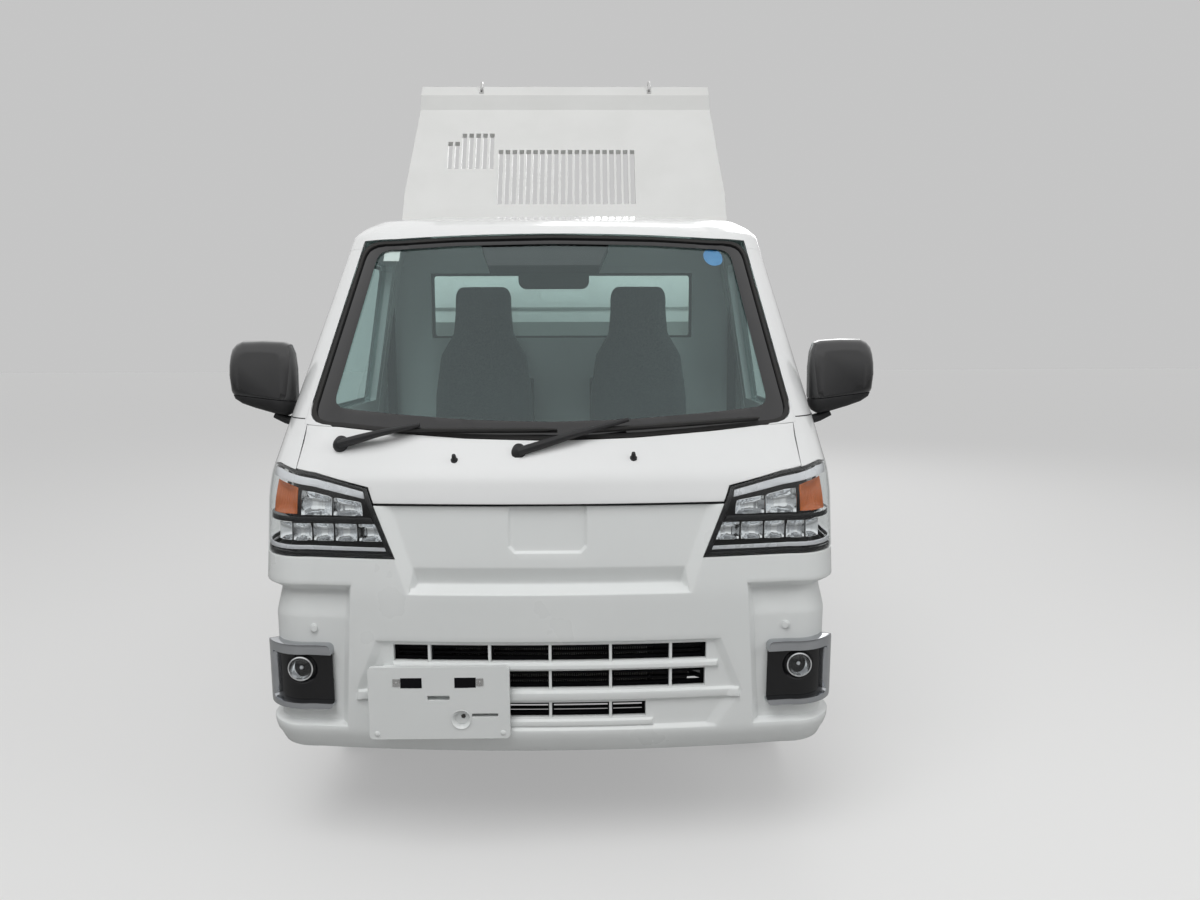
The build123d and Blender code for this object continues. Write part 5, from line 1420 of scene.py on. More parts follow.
def screen_outline(shrink):
    """Windscreen outline in s and z, shrunk by a border."""
    return inset_outline(front_outline(SCREEN_EDGE), [shrink] * len(SCREEN_EDGE))


def soft_corners(outline, radius, turn=25):
    """Outline whose sharper corners are rounded."""
    points = []
    for before, corner, after in zip(outline[-1:] + outline[:-1], outline, outline[1:] + outline[:1]):
        first = Vector(before) - Vector(corner)
        second = Vector(after) - Vector(corner)
        if math.degrees(math.pi - first.angle(second)) < turn:
            points.append(corner)
            continue
        middle = Vector(corner)
        points += bent(middle + first.normalized() * radius, middle, middle + second.normalized() * radius, 5)
    return points


def make_screen_edge():
    """Rubber moulding round the pane, the frit on it and the sensor box behind it."""
    outer = soft_corners(screen_outline(0.6), SCREEN_CORNER)
    inner = soft_corners(screen_outline(10), SCREEN_CORNER - 8)
    moulding = pressed_panel("screen_moulding", cut_sheet(outer, [inner], 18), [], 6, rubber, rim=1, base=4)
    hole = soft_corners(inset_outline(front_outline(SCREEN_EDGE), FRIT_WIDTHS), 34)
    edge = soft_corners(screen_outline(3), SCREEN_CORNER - 3)
    frit = pressed_panel("screen_frit", cut_sheet(edge, [hole], 18), [], 0.5, frit_black, rim=0.1,
                         base=GLASS_FACE - 0.7)
    field = front_outline([(-196, 1556), (136, 1556), (164, 1622), (-223, 1622)])
    box_piece = pressed_panel("sensor_box", cut_sheet(field, step=20), [], 34, black_plastic, rim=4, base=17)
    for finished in (moulding, frit, box_piece):
        hang(finished, "chassis", "black_trim")


def corner_fillet(turn, suffix):
    """Painted web that fills a lower corner of the opening outside the moulding's round."""
    x, z = SCREEN_FOOT[-1]
    corner = Vector((front_s(x, z), z))
    along = (Vector((front_s(*SCREEN_FOOT[-2]), SCREEN_FOOT[-2][1])) - corner).normalized()
    up = (Vector((front_s(*SCREEN_HEAD[0]), SCREEN_HEAD[0][1])) - corner).normalized()
    outline = [tuple(corner - (along + up) * 2), tuple(corner - along * 3 + up * (SCREEN_CORNER + 4))]
    outline += bent(corner + up * SCREEN_CORNER, corner, corner + along * SCREEN_CORNER, 6)
    outline.append(tuple(corner - up * 3 + along * (SCREEN_CORNER + 4)))
    sheet = cut_sheet(turn(outline), step=8)
    web = pressed_panel("screen_corner_" + suffix, sheet, [], 6, paint_white, rim=0.4, base=-0.3)
    hang(web, "chassis", "body_white")


make_screen_edge()
for turn, suffix in TURNS:
    corner_fillet(turn, suffix)
build("inner_mirror", black_plastic, "black_trim",
      (add_prism, rounded(-119, 104, 1484, 1549, 24), "Y", 704, 728), bevel=5)
build("inner_mirror_glass", mirror_glass, "rod_chrome",
      (add_prism, rounded(-113, 98, 1490, 1543, 20), "Y", 727, 729))
build("inner_mirror_stay", black_plastic, "black_trim",
      (add_tube, [(-8, 716, 1545), (-8, 690, 1575), (-8, 640, 1600)], 9))


def sticker(name, outline, material):
    """Small blank sticker on the inside of the pane."""
    piece = pressed_panel(name, cut_sheet(outline, step=8), [], 0.5, material, rim=0.1, base=GLASS_BACK + 0.9)
    hang(piece, "chassis", "body_white")


square_outline = front_outline([(-514, 1572), (-470, 1572), (-470, 1606), (-514, 1606)])
round_outline = [(front_s(478 + 27 * math.cos(a), 1590), 1582 + 27 * math.sin(a))
                 for a in [2 * math.pi * i / 24 for i in range(24)]]
sticker("square_sticker", square_outline, paper_white)
sticker("round_sticker", round_outline, sticker_blue)
SEAM_HEIGHT = 1121
seam_line = even_lines(front_s(654, SEAM_HEIGHT), side_s(392, SEAM_HEIGHT), 9)
seams = [(add_tube, [on_skin(side * s, SEAM_HEIGHT, -0.2) for s in seam_line], 1.5, 8) for side in (1, -1)]
build("pillar_seams", rubber, "black_trim", *seams)
print("windscreen edge, sensor box, mirror and stickers are in")

# %% [markdown]
# ## Wipers
#
# A wiper arm is a pressed channel: wide and deep at its cap, narrow where it hooks into the blade.
# A tube swept with a changing radius and flattened section makes it. The blade carries a rubber lip
# and follows the glass, so its points are taken from the surface itself.

# %% Wipers
WIPERS = [
    ((-539, 150, 1062), (-330, 1098), (-425, 1092), (20, 1094)),
    ((-77, 96, 1046), (200, 1110), (60, 1090), (548, 1114)),
]
BLADE_POINTS = 13


def glass_line(start, end, lift):
    """Points above the glass between two (x, z) ends."""
    points = []
    for i in range(BLADE_POINTS):
        t = i / (BLADE_POINTS - 1)
        x = start[0] + (end[0] - start[0]) * t
        z = start[1] + (end[1] - start[1]) * t
        points.append(on_skin(front_s(x, z), z, -lift))
    return points


arms = bmesh.new()
blades = bmesh.new()
for pivot, hook, blade_in, blade_out in WIPERS:
    add_lathe(arms, [(0, -19), (11, -18), (17, -13), (19, -4), (19, 14)], pivot, (0, 1, 0.25), 24)
    hook_point = on_skin(front_s(*hook), hook[1], -22)
    start = Vector(pivot) + Vector((0, -8, 2))
    middle = start.lerp(hook_point, 0.5) + Vector((0, -10, 4))
    add_tube(arms, [start, start.lerp(middle, 0.5), middle, middle.lerp(hook_point, 0.6), hook_point],
             [17, 16, 13, 10, 8], 10, 0.7)
    add_tube(blades, glass_line(blade_in, blade_out, 11), [4] + [8.5] * 5 + [10] + [8.5] * 5 + [4], 8, 0.7)
    add_tube(blades, glass_line(blade_in, blade_out, 3.5), 2.6, 6, 1.6)
hang(to_object("wiper_arms", arms, black_plastic, sharp=40), "chassis", "black_trim", "wipers")
hang(to_object("wiper_blades", blades, rubber, sharp=40), "chassis", "black_trim")
NOZZLE = [(0, -17), (4.5, -16), (5.5, -12), (6, -2), (9, -1), (9, 6)]
nozzles = [(add_lathe, NOZZLE, on_skin(front_s(x, z), z, -1), (0, 0.55, -0.83), 20)
           for x, z in ((-238, 1029), (212, 1032))]
build("washer_nozzles", black_plastic, "black_trim", *nozzles)
print("wipers and nozzles are in")

# %% [markdown]
# ## Door mirrors
#
# The housing is one rounded shell whose foot slopes up towards its outer end. A glossy cap sits on
# it, and below a fine parting line the shell is matt. One outline drawn in front view is carried
# back in rings that swell and close again, which gives the soft box, and a cut along the parting
# line makes the cap and the lower shell. The glass is a plate set back a little behind the rim.

# %% Door mirrors
MIRROR_OUT = 914
MIRROR_TOP = 1327
MIRROR_SHAPE = [
    (40, 1), (98, 0), (156, 4), (171, 11), (180, 36), (184, 80), (183, 164), (178, 190), (170, 205),
    (158, 212), (121, 206), (73, 192), (36, 179), (15, 165), (5, 142), (0, 98), (1, 68), (5, 42),
    (11, 22), (22, 9),
]
MIRROR_RINGS = [(436, 0.965), (431, 0.99), (418, 1.0), (402, 0.995), (388, 0.965), (378, 0.90), (371, 0.80),
                (368, 0.66)]
MIRROR_ARM = [(712, 424, 1090), (736, 416, 1094), (764, 410, 1103), (794, 406, 1118)]
PARTING = ((902, 1177), (764, 1160))


def mirror_rings(side, rings):
    """Closed shell through scaled copies of the mirror's outline."""
    outline = [(MIRROR_OUT - inward, MIRROR_TOP - down) for inward, down in MIRROR_SHAPE]
    centre_x = sum(x for x, _ in outline) / len(outline)
    centre_z = sum(z for _, z in outline) / len(outline)
    bm = bmesh.new()
    made = []
    for y, scale in rings:
        lean = 0.09 if y < 430 else 0.0
        ring = []
        for x, z in outline:
            place = (side * (centre_x + (x - centre_x) * scale), y + (z - centre_z) * lean * (1.6 - scale),
                     centre_z + (z - centre_z) * scale)
            ring.append(bm.verts.new(place))
        made.append(ring)
    bridge(bm, made)
    bm.faces.new(made[0])
    bm.faces.new(made[-1])
    bmesh.ops.recalc_face_normals(bm, faces=bm.faces)
    return bm


def mirror_half(side, name, material, upper):
    """The part of the shell above or below the parting line."""
    bm = mirror_rings(side, MIRROR_RINGS)
    (x0, z0), (x1, z1) = PARTING
    normal = Vector((-side * (z0 - z1), 0, x0 - x1)).normalized()
    gap = 0.9 if upper else -0.9
    bmesh.ops.bisect_plane(bm, geom=bm.verts[:] + bm.edges[:] + bm.faces[:], dist=0.01,
                           plane_co=Vector((side * x0, 0, z0)) + normal * gap, plane_no=normal,
                           clear_inner=upper, clear_outer=not upper)
    bmesh.ops.holes_fill(bm, edges=[edge for edge in bm.edges if edge.is_boundary])
    return to_object(name, bm, material, bevel=1.2, sharp=50)


def door_mirror(side, suffix):
    """Cap, lower shell, glass and arm of one door mirror."""
    body = "door_" + suffix
    cap = mirror_half(side, "mirror_housing_" + suffix, mirror_black, True)
    hang(cap, body, "gloss_black", "mirror_" + suffix)
    hang(mirror_half(side, "mirror_lower_" + suffix, black_plastic, False), body, "gloss_black")
    plate = mirror_rings(side, [(434, 0.90), (437.5, 0.90)])
    hang(to_object("mirror_glass_" + suffix, plate, mirror_glass), body, "rod_chrome")
    points = [(side * x, y, z) for x, y, z in MIRROR_ARM]
    build("mirror_arm_" + suffix, black_plastic, "gloss_black",
          (add_tube, points, [19, 18, 17, 15], 14, 0.74), body=body, sharp=50)


for side, suffix in SIDES:
    door_mirror(side, suffix)
print("door mirrors are in")

# %% [markdown]
# ## Number plate carrier
#
# The carrier is left bare, as the truck stands without plates. What shows is how it is fixed: two
# slots with bright clips for the plate's screws, a moulded cup with a bolt in it, and the dimples
# of two push rivets.

# %% Carrier clips, cup and rivets
CLIP_SCREW = [(0, -16.5), (2.2, -16.5), (3.6, -15.5), (3.6, -13)]
CUP = [(26, -13), (24.5, -14), (22, -12), (19, -2), (14, 6), (0, 8)]
RIVET = [(0, -15), (4, -14.6), (6.5, -13.2), (7, -12), (7, -9)]
ALONG = (0, 1, 0)
clips, pockets = [], []
for x, low_x, high_x in ((-381, -371, -318), (-174, -237, -184)):
    clips += [(add_block, x - 9, x + 9, -14, -11, 476, 495), (add_lathe, CLIP_SCREW, (x, 0, 485), ALONG, 16)]
    pockets.append((add_block, low_x, high_x, -12.4, -9, 471, 497))
# The near-black blocks in the slots are painted shade, standing in for the dark inside each slot.
build("carrier_pockets", deep_black, "black_trim", *pockets)
build("carrier_clips", bright_steel, "rod_chrome", *clips, bevel=0.8)
build("carrier_cup", bumper_white, "bumper_white", (add_lathe, CUP, (-222, 0, 388), ALONG, 36), sharp=50)
build("carrier_bolt", chassis_black, "black_trim",
      (add_lathe, [(0, -4), (5, -4), (6, -3), (6, 8)], (-218, 2, 392), ALONG, 6))
rivets = [(add_lathe, RIVET, (x, 0, 352), ALONG, 18) for x in (-432, -118)]
build("carrier_rivets", bumper_white, "bumper_white", *rivets)
print("carrier details are in")

# %% [markdown]
# ## Seats
#
# The seats are simple: a cushion and a tall back with its headrest in one, covered in dark tweed
# with smooth vinyl sides. Each pad starts as a block a little smaller than the space it has. It is
# remeshed into even small faces and blown up as a closed cloth with the wind of its own pressure,
# which pulls the sides in between the corners as real foam under a sewn cover does. A cap on the
# movement keeps it inside the space of the plain solid.

# %% Padded blocks
PAD_VOXEL = 0.007
PAD_FRAMES = 20
PAD_CAP = 0.012


def inflate(obj, pressure=4.0):
    """Blow a closed mesh up as cloth, with its movement capped."""
    mesh = obj.data
    before = [v.co.copy() for v in mesh.vertices]
    cloth = obj.modifiers.new("cloth", "CLOTH")
    cloth.settings.use_pressure = True
    cloth.settings.uniform_pressure_force = pressure
    cloth.settings.effector_weights.gravity = 0
    cloth.settings.quality = 5
    cloth.point_cache.frame_start = 1
    cloth.point_cache.frame_end = PAD_FRAMES
    scene = bpy.context.scene
    for frame_number in range(1, PAD_FRAMES + 1):
        scene.frame_set(frame_number)
    graph = bpy.context.evaluated_depsgraph_get()
    blown = bpy.data.meshes.new_from_object(obj.evaluated_get(graph))
    obj.modifiers.clear()
    for old, vert in zip(before, blown.vertices):
        move = vert.co - old
        if move.length > PAD_CAP:
            vert.co = old + move * (PAD_CAP / move.length)
    obj.data = blown
    scene.frame_set(1)


def pad(name, bm, material, soft=22.0):
    """Padded piece from a closed block in millimetres: rounded, remeshed, blown up, smoothed."""
    obj = link(bpy.data.objects.new(name, clean_mesh(place(bm), name)))
    bevel_edges(obj, soft, 4, 25)
    voxel = obj.modifiers.new("voxels", "REMESH")
    voxel.mode = "VOXEL"
    voxel.voxel_size = PAD_VOXEL
    baked(obj, 180)
    inflate(obj)
    calm = obj.modifiers.new("calm", "SMOOTH")
    calm.factor = 0.5
    calm.iterations = 3
    baked(obj, 180)
    obj.data.materials.clear()
    obj.data.materials.append(material)
    hang(obj, "chassis", "seat_cloth", *(["seats"] if name == "seat_cushion_left" else []))


def back_block(outline, foot, lean, thick):
    """Block from a front outline of (x, height), leaning back as it rises."""
    bm = add_prism(bmesh.new(), outline, "Y", 0, 1)
    for vert in bm.verts:
        rise = vert.co.z - foot[1]
        wall = thick[0] + (thick[1] - thick[0]) * min(1, rise / lean[1])
        vert.co.y = foot[0] + lean[0] * rise / lean[1] + vert.co.y * wall
    return bm


SEAT_X = 285
CUSHION = [(652, 748), (664, 826), (1040, 812), (1085, 772), (1075, 748)]
BACK_HALF = [(186, 800), (192, 900), (188, 1120), (168, 1268), (120, 1352), (104, 1500), (86, 1528)]
BACK_FOOT = (1082, 800)
BACK_LEAN = (72, 730)
BACK_THICK = (86, 62)
BACK_SHELL = [(1120, 752), (1205, 752), (1240, 1180), (1222, 1180)]
bases = []
for side, suffix in SIDES:
    centre = side * SEAT_X
    cushion = add_prism(bmesh.new(), CUSHION, "X", centre - 198, centre + 198)
    pad("seat_cushion_" + suffix, cushion, seat_cloth)
    shape = [(centre + x, z) for x, z in BACK_HALF] + [(centre - x, z) for x, z in reversed(BACK_HALF)]
    pad("seat_back_" + suffix, back_block(shape, BACK_FOOT, BACK_LEAN, BACK_THICK), seat_cloth)
    bases.append((add_block, centre - 185, centre + 185, 650, 1130, 716, 752))
    bases.append((add_prism, BACK_SHELL, "X", centre - 180, centre + 180))
build("seat_bases", seat_vinyl, "black_trim", *bases, bevel=8)
print("seats are in")

# %% [markdown]
# ## Steering wheel
#
# A moulded rim with thumb rests, three flat spokes and a round centre pad, raked far forward as in
# every cab-over. The rim is a ring swept round the wheel's own axis. The centre pad is left plain,
# because a badge would sit there.

# %% Steering wheel
WHEEL_CENTRE = Vector((-285, 625, 975))
WHEEL_RAKE = math.radians(52)
WHEEL_AXIS = Vector((0, math.cos(WHEEL_RAKE), math.sin(WHEEL_RAKE)))
WHEEL_UP = Vector((0, -math.sin(WHEEL_RAKE), math.cos(WHEEL_RAKE)))
WHEEL_RADIUS = 182
WHEEL_GRIP = 13.5
WHEEL_STEPS = 72
GRIP_STEPS = 14


def wheel_point(radius, angle, lift):
    """Point of the steering wheel's plane, with its lift along the column."""
    across = Vector((radius * math.cos(angle), 0, 0))
    return WHEEL_CENTRE + across + WHEEL_UP * radius * math.sin(angle) + WHEEL_AXIS * lift


def add_wheel_rim(bm):
    """Rim of the wheel, thicker where the thumbs lie."""
    turns = [2 * math.pi * k / GRIP_STEPS for k in range(GRIP_STEPS)]
    rings = []
    for i in range(WHEEL_STEPS):
        angle = 2 * math.pi * i / WHEEL_STEPS
        thumb = WHEEL_GRIP * (1 + 0.18 * max(0, math.cos(2 * (angle - math.radians(12)))) ** 6)
        ring = [wheel_point(WHEEL_RADIUS + thumb * math.cos(a), angle, thumb * math.sin(a)) for a in turns]
        rings.append([bm.verts.new(point) for point in ring])
    bridge(bm, rings + rings[:1])


build("wheel_rim", wheel_grip, "black_trim", (add_wheel_rim,), body="steering_wheel",
      replaced=["steering_wheel"], sharp=60)
spokes = []
for angle in (0, math.pi, math.pi * 1.5):
    points = [wheel_point(r, angle, lift) for r, lift in ((40, -34), (90, -26), (140, -12), (172, -2))]
    spokes.append((add_tube, points, [26, 22, 18, 17], 12, 0.42, WHEEL_AXIS))
build("wheel_spokes", dash_grey, "dash_grey", *spokes, body="steering_wheel", sharp=50)
WHEEL_PAD = [(0, -10), (30, -12), (52, -18), (62, -28), (64, -40), (50, -58), (0, -60)]
build("wheel_pad", dash_grey, "dash_grey", (add_lathe, WHEEL_PAD, WHEEL_CENTRE, WHEEL_AXIS, 40),
      body="steering_wheel", sharp=50)
print("steering wheel is in")

# %% [markdown]
# ## Doors
#
# Each door gets what the hand and the eye meet: a pull handle with its grip, the lock, the rubber
# channel round the window, and inside a trim board with a pull and a winder. All of it rides on the
# door, so it swings with it.

# %% Door trim
DOOR_INNER = 694
HANDLE_HEIGHT = 893
WINDOW = [(463, 1112), (1146, 1108), (1146, 1560), (1130, 1581), (815, 1581), (792, 1570)]
BOARD = [(430, 645), (800, 645), (900, 615), (1000, 545), (1060, 480), (1175, 470), (1175, 1060), (470, 1060)]
HANDLE = [(738, 1072), (752, 1082), (757, 1105), (758, 1135), (757, 1165), (752, 1188), (738, 1198)]
PULL = [(686, 700, 912), (662, 720, 912), (655, 800, 915), (662, 900, 916), (686, 925, 916)]
UPRIGHT = (1, 0, 0.001)
LOCK = [(0, 4), (7, 4), (9.5, 2.5), (10, -6)]


def door_surface(station, height, lift=0.0):
    """Point of the door's outer face on the left side."""
    return on_skin(side_s(station, height), height, -lift)


def add_window_rubber(bm, side):
    """Rubber channel round the window, laid on the door's skin."""
    rings = []
    for margin, lift in ((-6, 0.5), (-4, 3.0), (7, 3.0), (9, -9)):
        ring = [door_surface(*spot, lift) for spot in inset_outline(WINDOW, [margin] * len(WINDOW))]
        rings.append([bm.verts.new((side * p.x, p.y, p.z)) for p in ring])
    bridge(bm, rings)


def make_door_trim(side, suffix):
    """Handle, lock, window rubber, trim board, pull and winder of one door."""
    body = "door_" + suffix
    grip = [(side * x, station, HANDLE_HEIGHT) for x, station in HANDLE]
    build("door_handle_" + suffix, black_plastic, "black_trim",
          (add_tube, grip, [13, 13, 12, 11.5, 12, 13, 13], 12, 0.62, UPRIGHT), body=body, sharp=50)
    build("door_lock_" + suffix, bright_steel, "rod_chrome",
          (add_lathe, LOCK, (side * 737, 1046, HANDLE_HEIGHT), (side, 0, 0), 24),
          (add_block, *sorted((side * 740, side * 742.2)), 1044.8, 1047.2, 888, 898), body=body)
    build("window_rubber_" + suffix, rubber, "black_trim", (add_window_rubber, side), body=body, sharp=50)
    board = (add_prism, BOARD, "X", *sorted((side * (DOOR_INNER - 10), side * DOOR_INNER)))
    build("door_board_" + suffix, dash_grey, "dash_grey", board, body=body, bevel=3)
    build("door_pull_" + suffix, seat_vinyl, "black_trim",
          (add_tube, [(side * x, y, z) for x, y, z in PULL], [13, 13, 12, 13, 13], 12, 0.8, UPRIGHT),
          (add_lathe, [(0, 22), (20, 22), (22, 18), (22, 0)], (side * 684, 760, 790), (-side, 0, 0), 24),
          body=body, sharp=50)


for side, suffix in SIDES:
    make_door_trim(side, suffix)
print("door trim is in")

# %% [markdown]
# ## Tyres
#
# A light truck tyre: five ribs of tread blocks with grooves between them, rounded shoulders, and a
# side wall with a few raised rings. The casing is turned from a profile. The blocks of one pitch,
# a middle one, two inner and two shoulder blocks set at a slant, are copied round by the ring tree.
# Lettering on the side wall is left out.

# %% Tyres
TYRE_RADIUS = 268
TREAD_DEPTH = 7
TREAD_PITCHES = 58
AXLES = {"front": (652.5, 745), "rear": (650, 2645)}
TYRE_PROFILE = [
    (168, -46), (174, -55), (182, -60), (187, -61), (190, -63), (208, -69), (212, -71.5), (216, -71.8),
    (226, -72), (238, -70.5), (240, -71.6), (244, -71), (250, -67), (256, -62), (259.5, -55), (261, -40),
    (261, -34.5), (257, -33.5), (257, -31.5), (261, -30.5), (261.4, -12), (257, -11), (257, -9), (261.5, -8),
]
TREAD_ROWS = [(0, 7.0, 26, 0.0), (21.5, 8.3, 24, 5.0), (45.5, 10.5, 22, 9.0)]


def tread_block(bm, x, half, length, slant, lean):
    """One block: a box with its upper edges cut back, its two ends shifted by the slant."""
    top = TYRE_RADIUS - 0.4
    crown = 0.0006 * x * x
    low_ring, rim_ring, top_ring = [], [], []
    for dx, dy in ((-1, -1), (1, -1), (1, 1), (-1, 1)):
        shift = slant * dx * lean
        px, py = x + dx * half, dy * length / 2 + shift
        low_ring.append(bm.verts.new((px, py, top - crown - TREAD_DEPTH - 1)))
        rim_ring.append(bm.verts.new((px, py, top - crown - 1.2)))
        top_ring.append(bm.verts.new((px - dx * 1.0, py - dy * 1.0, top - crown)))
    bridge(bm, [low_ring, rim_ring, top_ring])
    bm.faces.new(top_ring)
    bm.faces.new(list(reversed(low_ring)))


def shoulder_lug(bm, side, length):
    """Lug that runs from the tread over the shoulder."""
    rows = [(56.5, 0.2), (60.5, -3.5), (66, -13.5), (69.2, -21)]
    rings = []
    for x, drop in rows:
        corners = [(-1, 2.4), (-1, 0), (1, 0), (1, 2.4)]
        rings.append([bm.verts.new((side * (x - sink / 2), dy * length / 2, TYRE_RADIUS - 3.4 + drop - sink))
                      for dy, sink in corners])
    bridge(bm, rings)
    bm.faces.new(rings[0])
    bm.faces.new(list(reversed(rings[-1])))


def make_tyre(end, side, body, centre):
    """Casing and tread of one tyre. end is the end of its pieces' names."""
    bm = bmesh.new()
    half = TYRE_PROFILE + [(radius, -x) for radius, x in reversed(TYRE_PROFILE)]
    inner = [(168, 44), (200, 52), (240, 50), (246, 0), (240, -50), (200, -52), (168, -44)]
    add_lathe(bm, half + inner + [half[0]], centre, (1, 0, 0), 96)
    hang(to_object("casing" + end, bm, tyre_rubber, sharp=40), body, "tyre", "tyre" + end)
    pitch = bmesh.new()
    for x, half_width, length, slant in TREAD_ROWS:
        for flip in ((1,) if x == 0 else (1, -1)):
            tread_block(pitch, flip * x, half_width, length, slant, flip)
    for flip in (1, -1):
        shoulder_lug(pitch, flip, 17)
    for vert in pitch.verts:
        vert.co = vert.co + Vector(centre)
    tread = ring_of("tread" + end, pitch, TREAD_PITCHES, centre, (1, 0, 0), tyre_rubber)
    hang(tread, body, "tyre")
    return len(tread.data.polygons)


# %% [markdown]
# ## Wheel nuts, caps and valves
#
# The pressed wheel is already right in the frame. Four tapered nuts on the hub face, a cap over the
# bearing, and the valve with its dust cap complete it.

# %% Nuts, caps and valves
NUT_CIRCLE = 50
NUT_COUNT = 4
HUB_FACE = 10
HUB_CAP = [(0, 24), (20, 24), (25, 22), (27, 17), (27.5, 3), (31, 2), (32, 0.4)]
VALVE = [(0, -4), (6, -4), (6.5, 0), (4.2, 3), (3.6, 18), (4.4, 18.5), (4.4, 27), (3.4, 28), (0, 28)]


def make_wheel_trim(end, side, body, centre):
    """Nuts, cap and valve of one wheel."""
    middle, station, height = centre
    face = (middle + side * HUB_FACE, station, height)
    spot = (face[0], station, height + NUT_CIRCLE)
    axis = (side, 0, 0)
    nut = bmesh.new()
    add_lathe(nut, [(0, -1), (13, -1), (12.4, 3), (0, 3)], spot, axis, 20)
    add_lathe(nut, [(0, 1), (11, 1), (11, 13), (9.2, 15), (0, 15)], spot, axis, 6)
    add_lathe(nut, [(0, 14), (5.6, 14), (5.6, 18), (4.4, 19.5), (0, 19.5)], spot, axis, 14)
    hang(ring_of("nuts" + end, nut, NUT_COUNT, centre, (1, 0, 0), bright_steel), body, "rod_chrome")
    build("hub_cap" + end, black_plastic, "black_trim", (add_lathe, HUB_CAP, face, axis, 36), body=body)
    foot = (middle + side * 34, station + 92, height + 92)
    build("valve" + end, rubber, "tyre", (add_lathe, VALVE, foot, (side * 0.72, -0.42, -0.42), 14), body=body)


tread_faces = 0
for axle, (track_half, station) in AXLES.items():
    for side, suffix in SIDES:
        end = "_%s_%s" % (axle, suffix)
        where = (end, side, "wheel" + end, (side * track_half, station, TYRE_RADIUS))
        tread_faces = tread_faces + make_tyre(*where)
        make_wheel_trim(*where)
print("tread faces", tread_faces)

# %% [markdown]
# ## The tipping bed
#
# The bed is drawn lowered and turned about its rear hinge, as it stands in the photograph. Its
# dressing follows the same turn: one helper takes a point of the lowered bed to its tipped place.
# The gates get their latches, the bed its rope hooks and weld seams.

# %% Tipping helper and bed trim
BED_TIP = 28.3
BED_HINGE = (3156, 497)
BED_FLOOR = 655
GATE_HALF = 721.5
GATE_TOP = 940
BED_FRONT_END = 1400
HOOD_LIP = 1364
HOOD_CREST = 1805


def tip_spot(point):
    """Turn a point of the lowered bed to the tip that the truck stands with."""
    turn = math.radians(BED_TIP)
    y, z = point[1] - BED_HINGE[0], point[2] - BED_HINGE[1]
    along, up = y * math.cos(turn) + z * math.sin(turn), -y * math.sin(turn) + z * math.cos(turn)
    return (point[0], BED_HINGE[0] + along, BED_HINGE[1] + up)


def tip_all(bm):
    """Turn the whole of a lowered bed piece."""
    for vert in bm.verts:
        vert.co = tip_spot(vert.co)


def add_latch(bm, side, station, toward):
    """Over-centre latch on a gate: base plate, lever with its bent grip, and its pivot."""
    x = side * (GATE_HALF - 6)
    z = GATE_TOP - 105
    add_block(bm, *sorted((x, x + side * 4)), station - 26, station + 26, z - 34, z + 34)
    add_lathe(bm, [(0, -2), (11, -2), (11, 9), (8, 11), (0, 11)], (x, station, z + 8), (side, 0, 0), 18)
    grip = [(x + side * out, station, z + up) for out, up in ((8, 8), (9, -20), (11, -52), (16, -74))]
    add_tube(bm, grip, [10, 9, 8, 8], 10, 0.45, (1, 0, 0))
    hook = [(x + side * 8, station + toward * far, z + up) for far, up in ((0, 10), (34, 12), (62, 12))]
    add_tube(bm, hook, [6, 5, 5], 8)


ROPE_HOOK = [(0, -22, 14), (6, -22, -4), (16, -18, -16), (16, 18, -16), (6, 22, -4), (0, 22, 14)]
for side, suffix in SIDES:
    build("latches_" + suffix, bright_steel, "rod_chrome", (add_latch, side, 1495, -1),
          (add_latch, side, 3262, 1), (tip_all,), body="side_gate_" + suffix, bevel=1.2)
hooks = []
for side in (1, -1):
    for station in (1560, 1830, 2090, 2300, 2560, 2740, 2990, 3240):
        bar = [(side * (700 + out), station + far, BED_FLOOR - 72 + up) for out, far, up in ROPE_HOOK]
        hooks.append((add_tube, bar, 5, 8, 1.0, (0, 1, 0.01)))
build("rope_hooks", chassis_black, "frame_black", *hooks, (tip_all,), body="bed", sharp=60)

# %% [markdown]
# ## Weld seams and bolts of the bed
#
# A bed is welded from plates. A fine bead runs round the floor where it meets the headboard, and
# short stitch welds hold the bearers. The bead is a tube whose thickness wavers evenly, as the
# torch moves on in steps.

# %% Weld beads and bed bolts
def weld_bead(bm, start, end, radius=3.2, step=7.0):
    """Bead between two points, swelling at each step of the torch."""
    start, end = Vector(start), Vector(end)
    count = max(2, int((end - start).length / step) * 2)
    points = [start.lerp(end, i / count) for i in range(count + 1)]
    add_tube(bm, points, [radius * (1.0 if i % 2 else 0.78) for i in range(count + 1)], 6)


BEAD_Y, BEAD_Z = BED_FRONT_END + 29, BED_FLOOR + 1
beads = [(weld_bead, (-690, BEAD_Y, BEAD_Z), (690, BEAD_Y, BEAD_Z))]
for side in (1, -1):
    for station in (1420, 1680, 1940, 2200, 2840, 3100):
        beads.append((weld_bead, (side * 432, station, 642), (side * 560, station, 642), 2.6))
build("bed_welds", bed_white, "bed_white", *beads, (tip_all,), body="bed", sharp=70)
for side, suffix in SIDES:
    spots = []
    for station in (1650, 2390, 3130):
        for shift in (-14, 14):
            spot = (side * (GATE_HALF + 8.2), station + shift, BED_FLOOR + 26)
            spots.append((tip_spot(spot), (side, 0, 0)))
    hang(bolts_at("gate_bolts_" + suffix, spots, 9, bright_steel), "side_gate_" + suffix, "rod_chrome")
HINGE_CAP = [(0, -3), (24, -3), (24, 0), (20, 3), (0, 3)]
hinge_caps = [(add_lathe, HINGE_CAP, (side * 432, *BED_HINGE), (side, 0, 0), 28) for side in (1, -1)]
build("hinge_caps", cast_iron, "power_cast", *hinge_caps, body="bed")
HOOD_HOOK = [(-3, -30), (-11, -16), (-13, 8), (-8, 19), (3, 24), (13, 17)]
ties = []
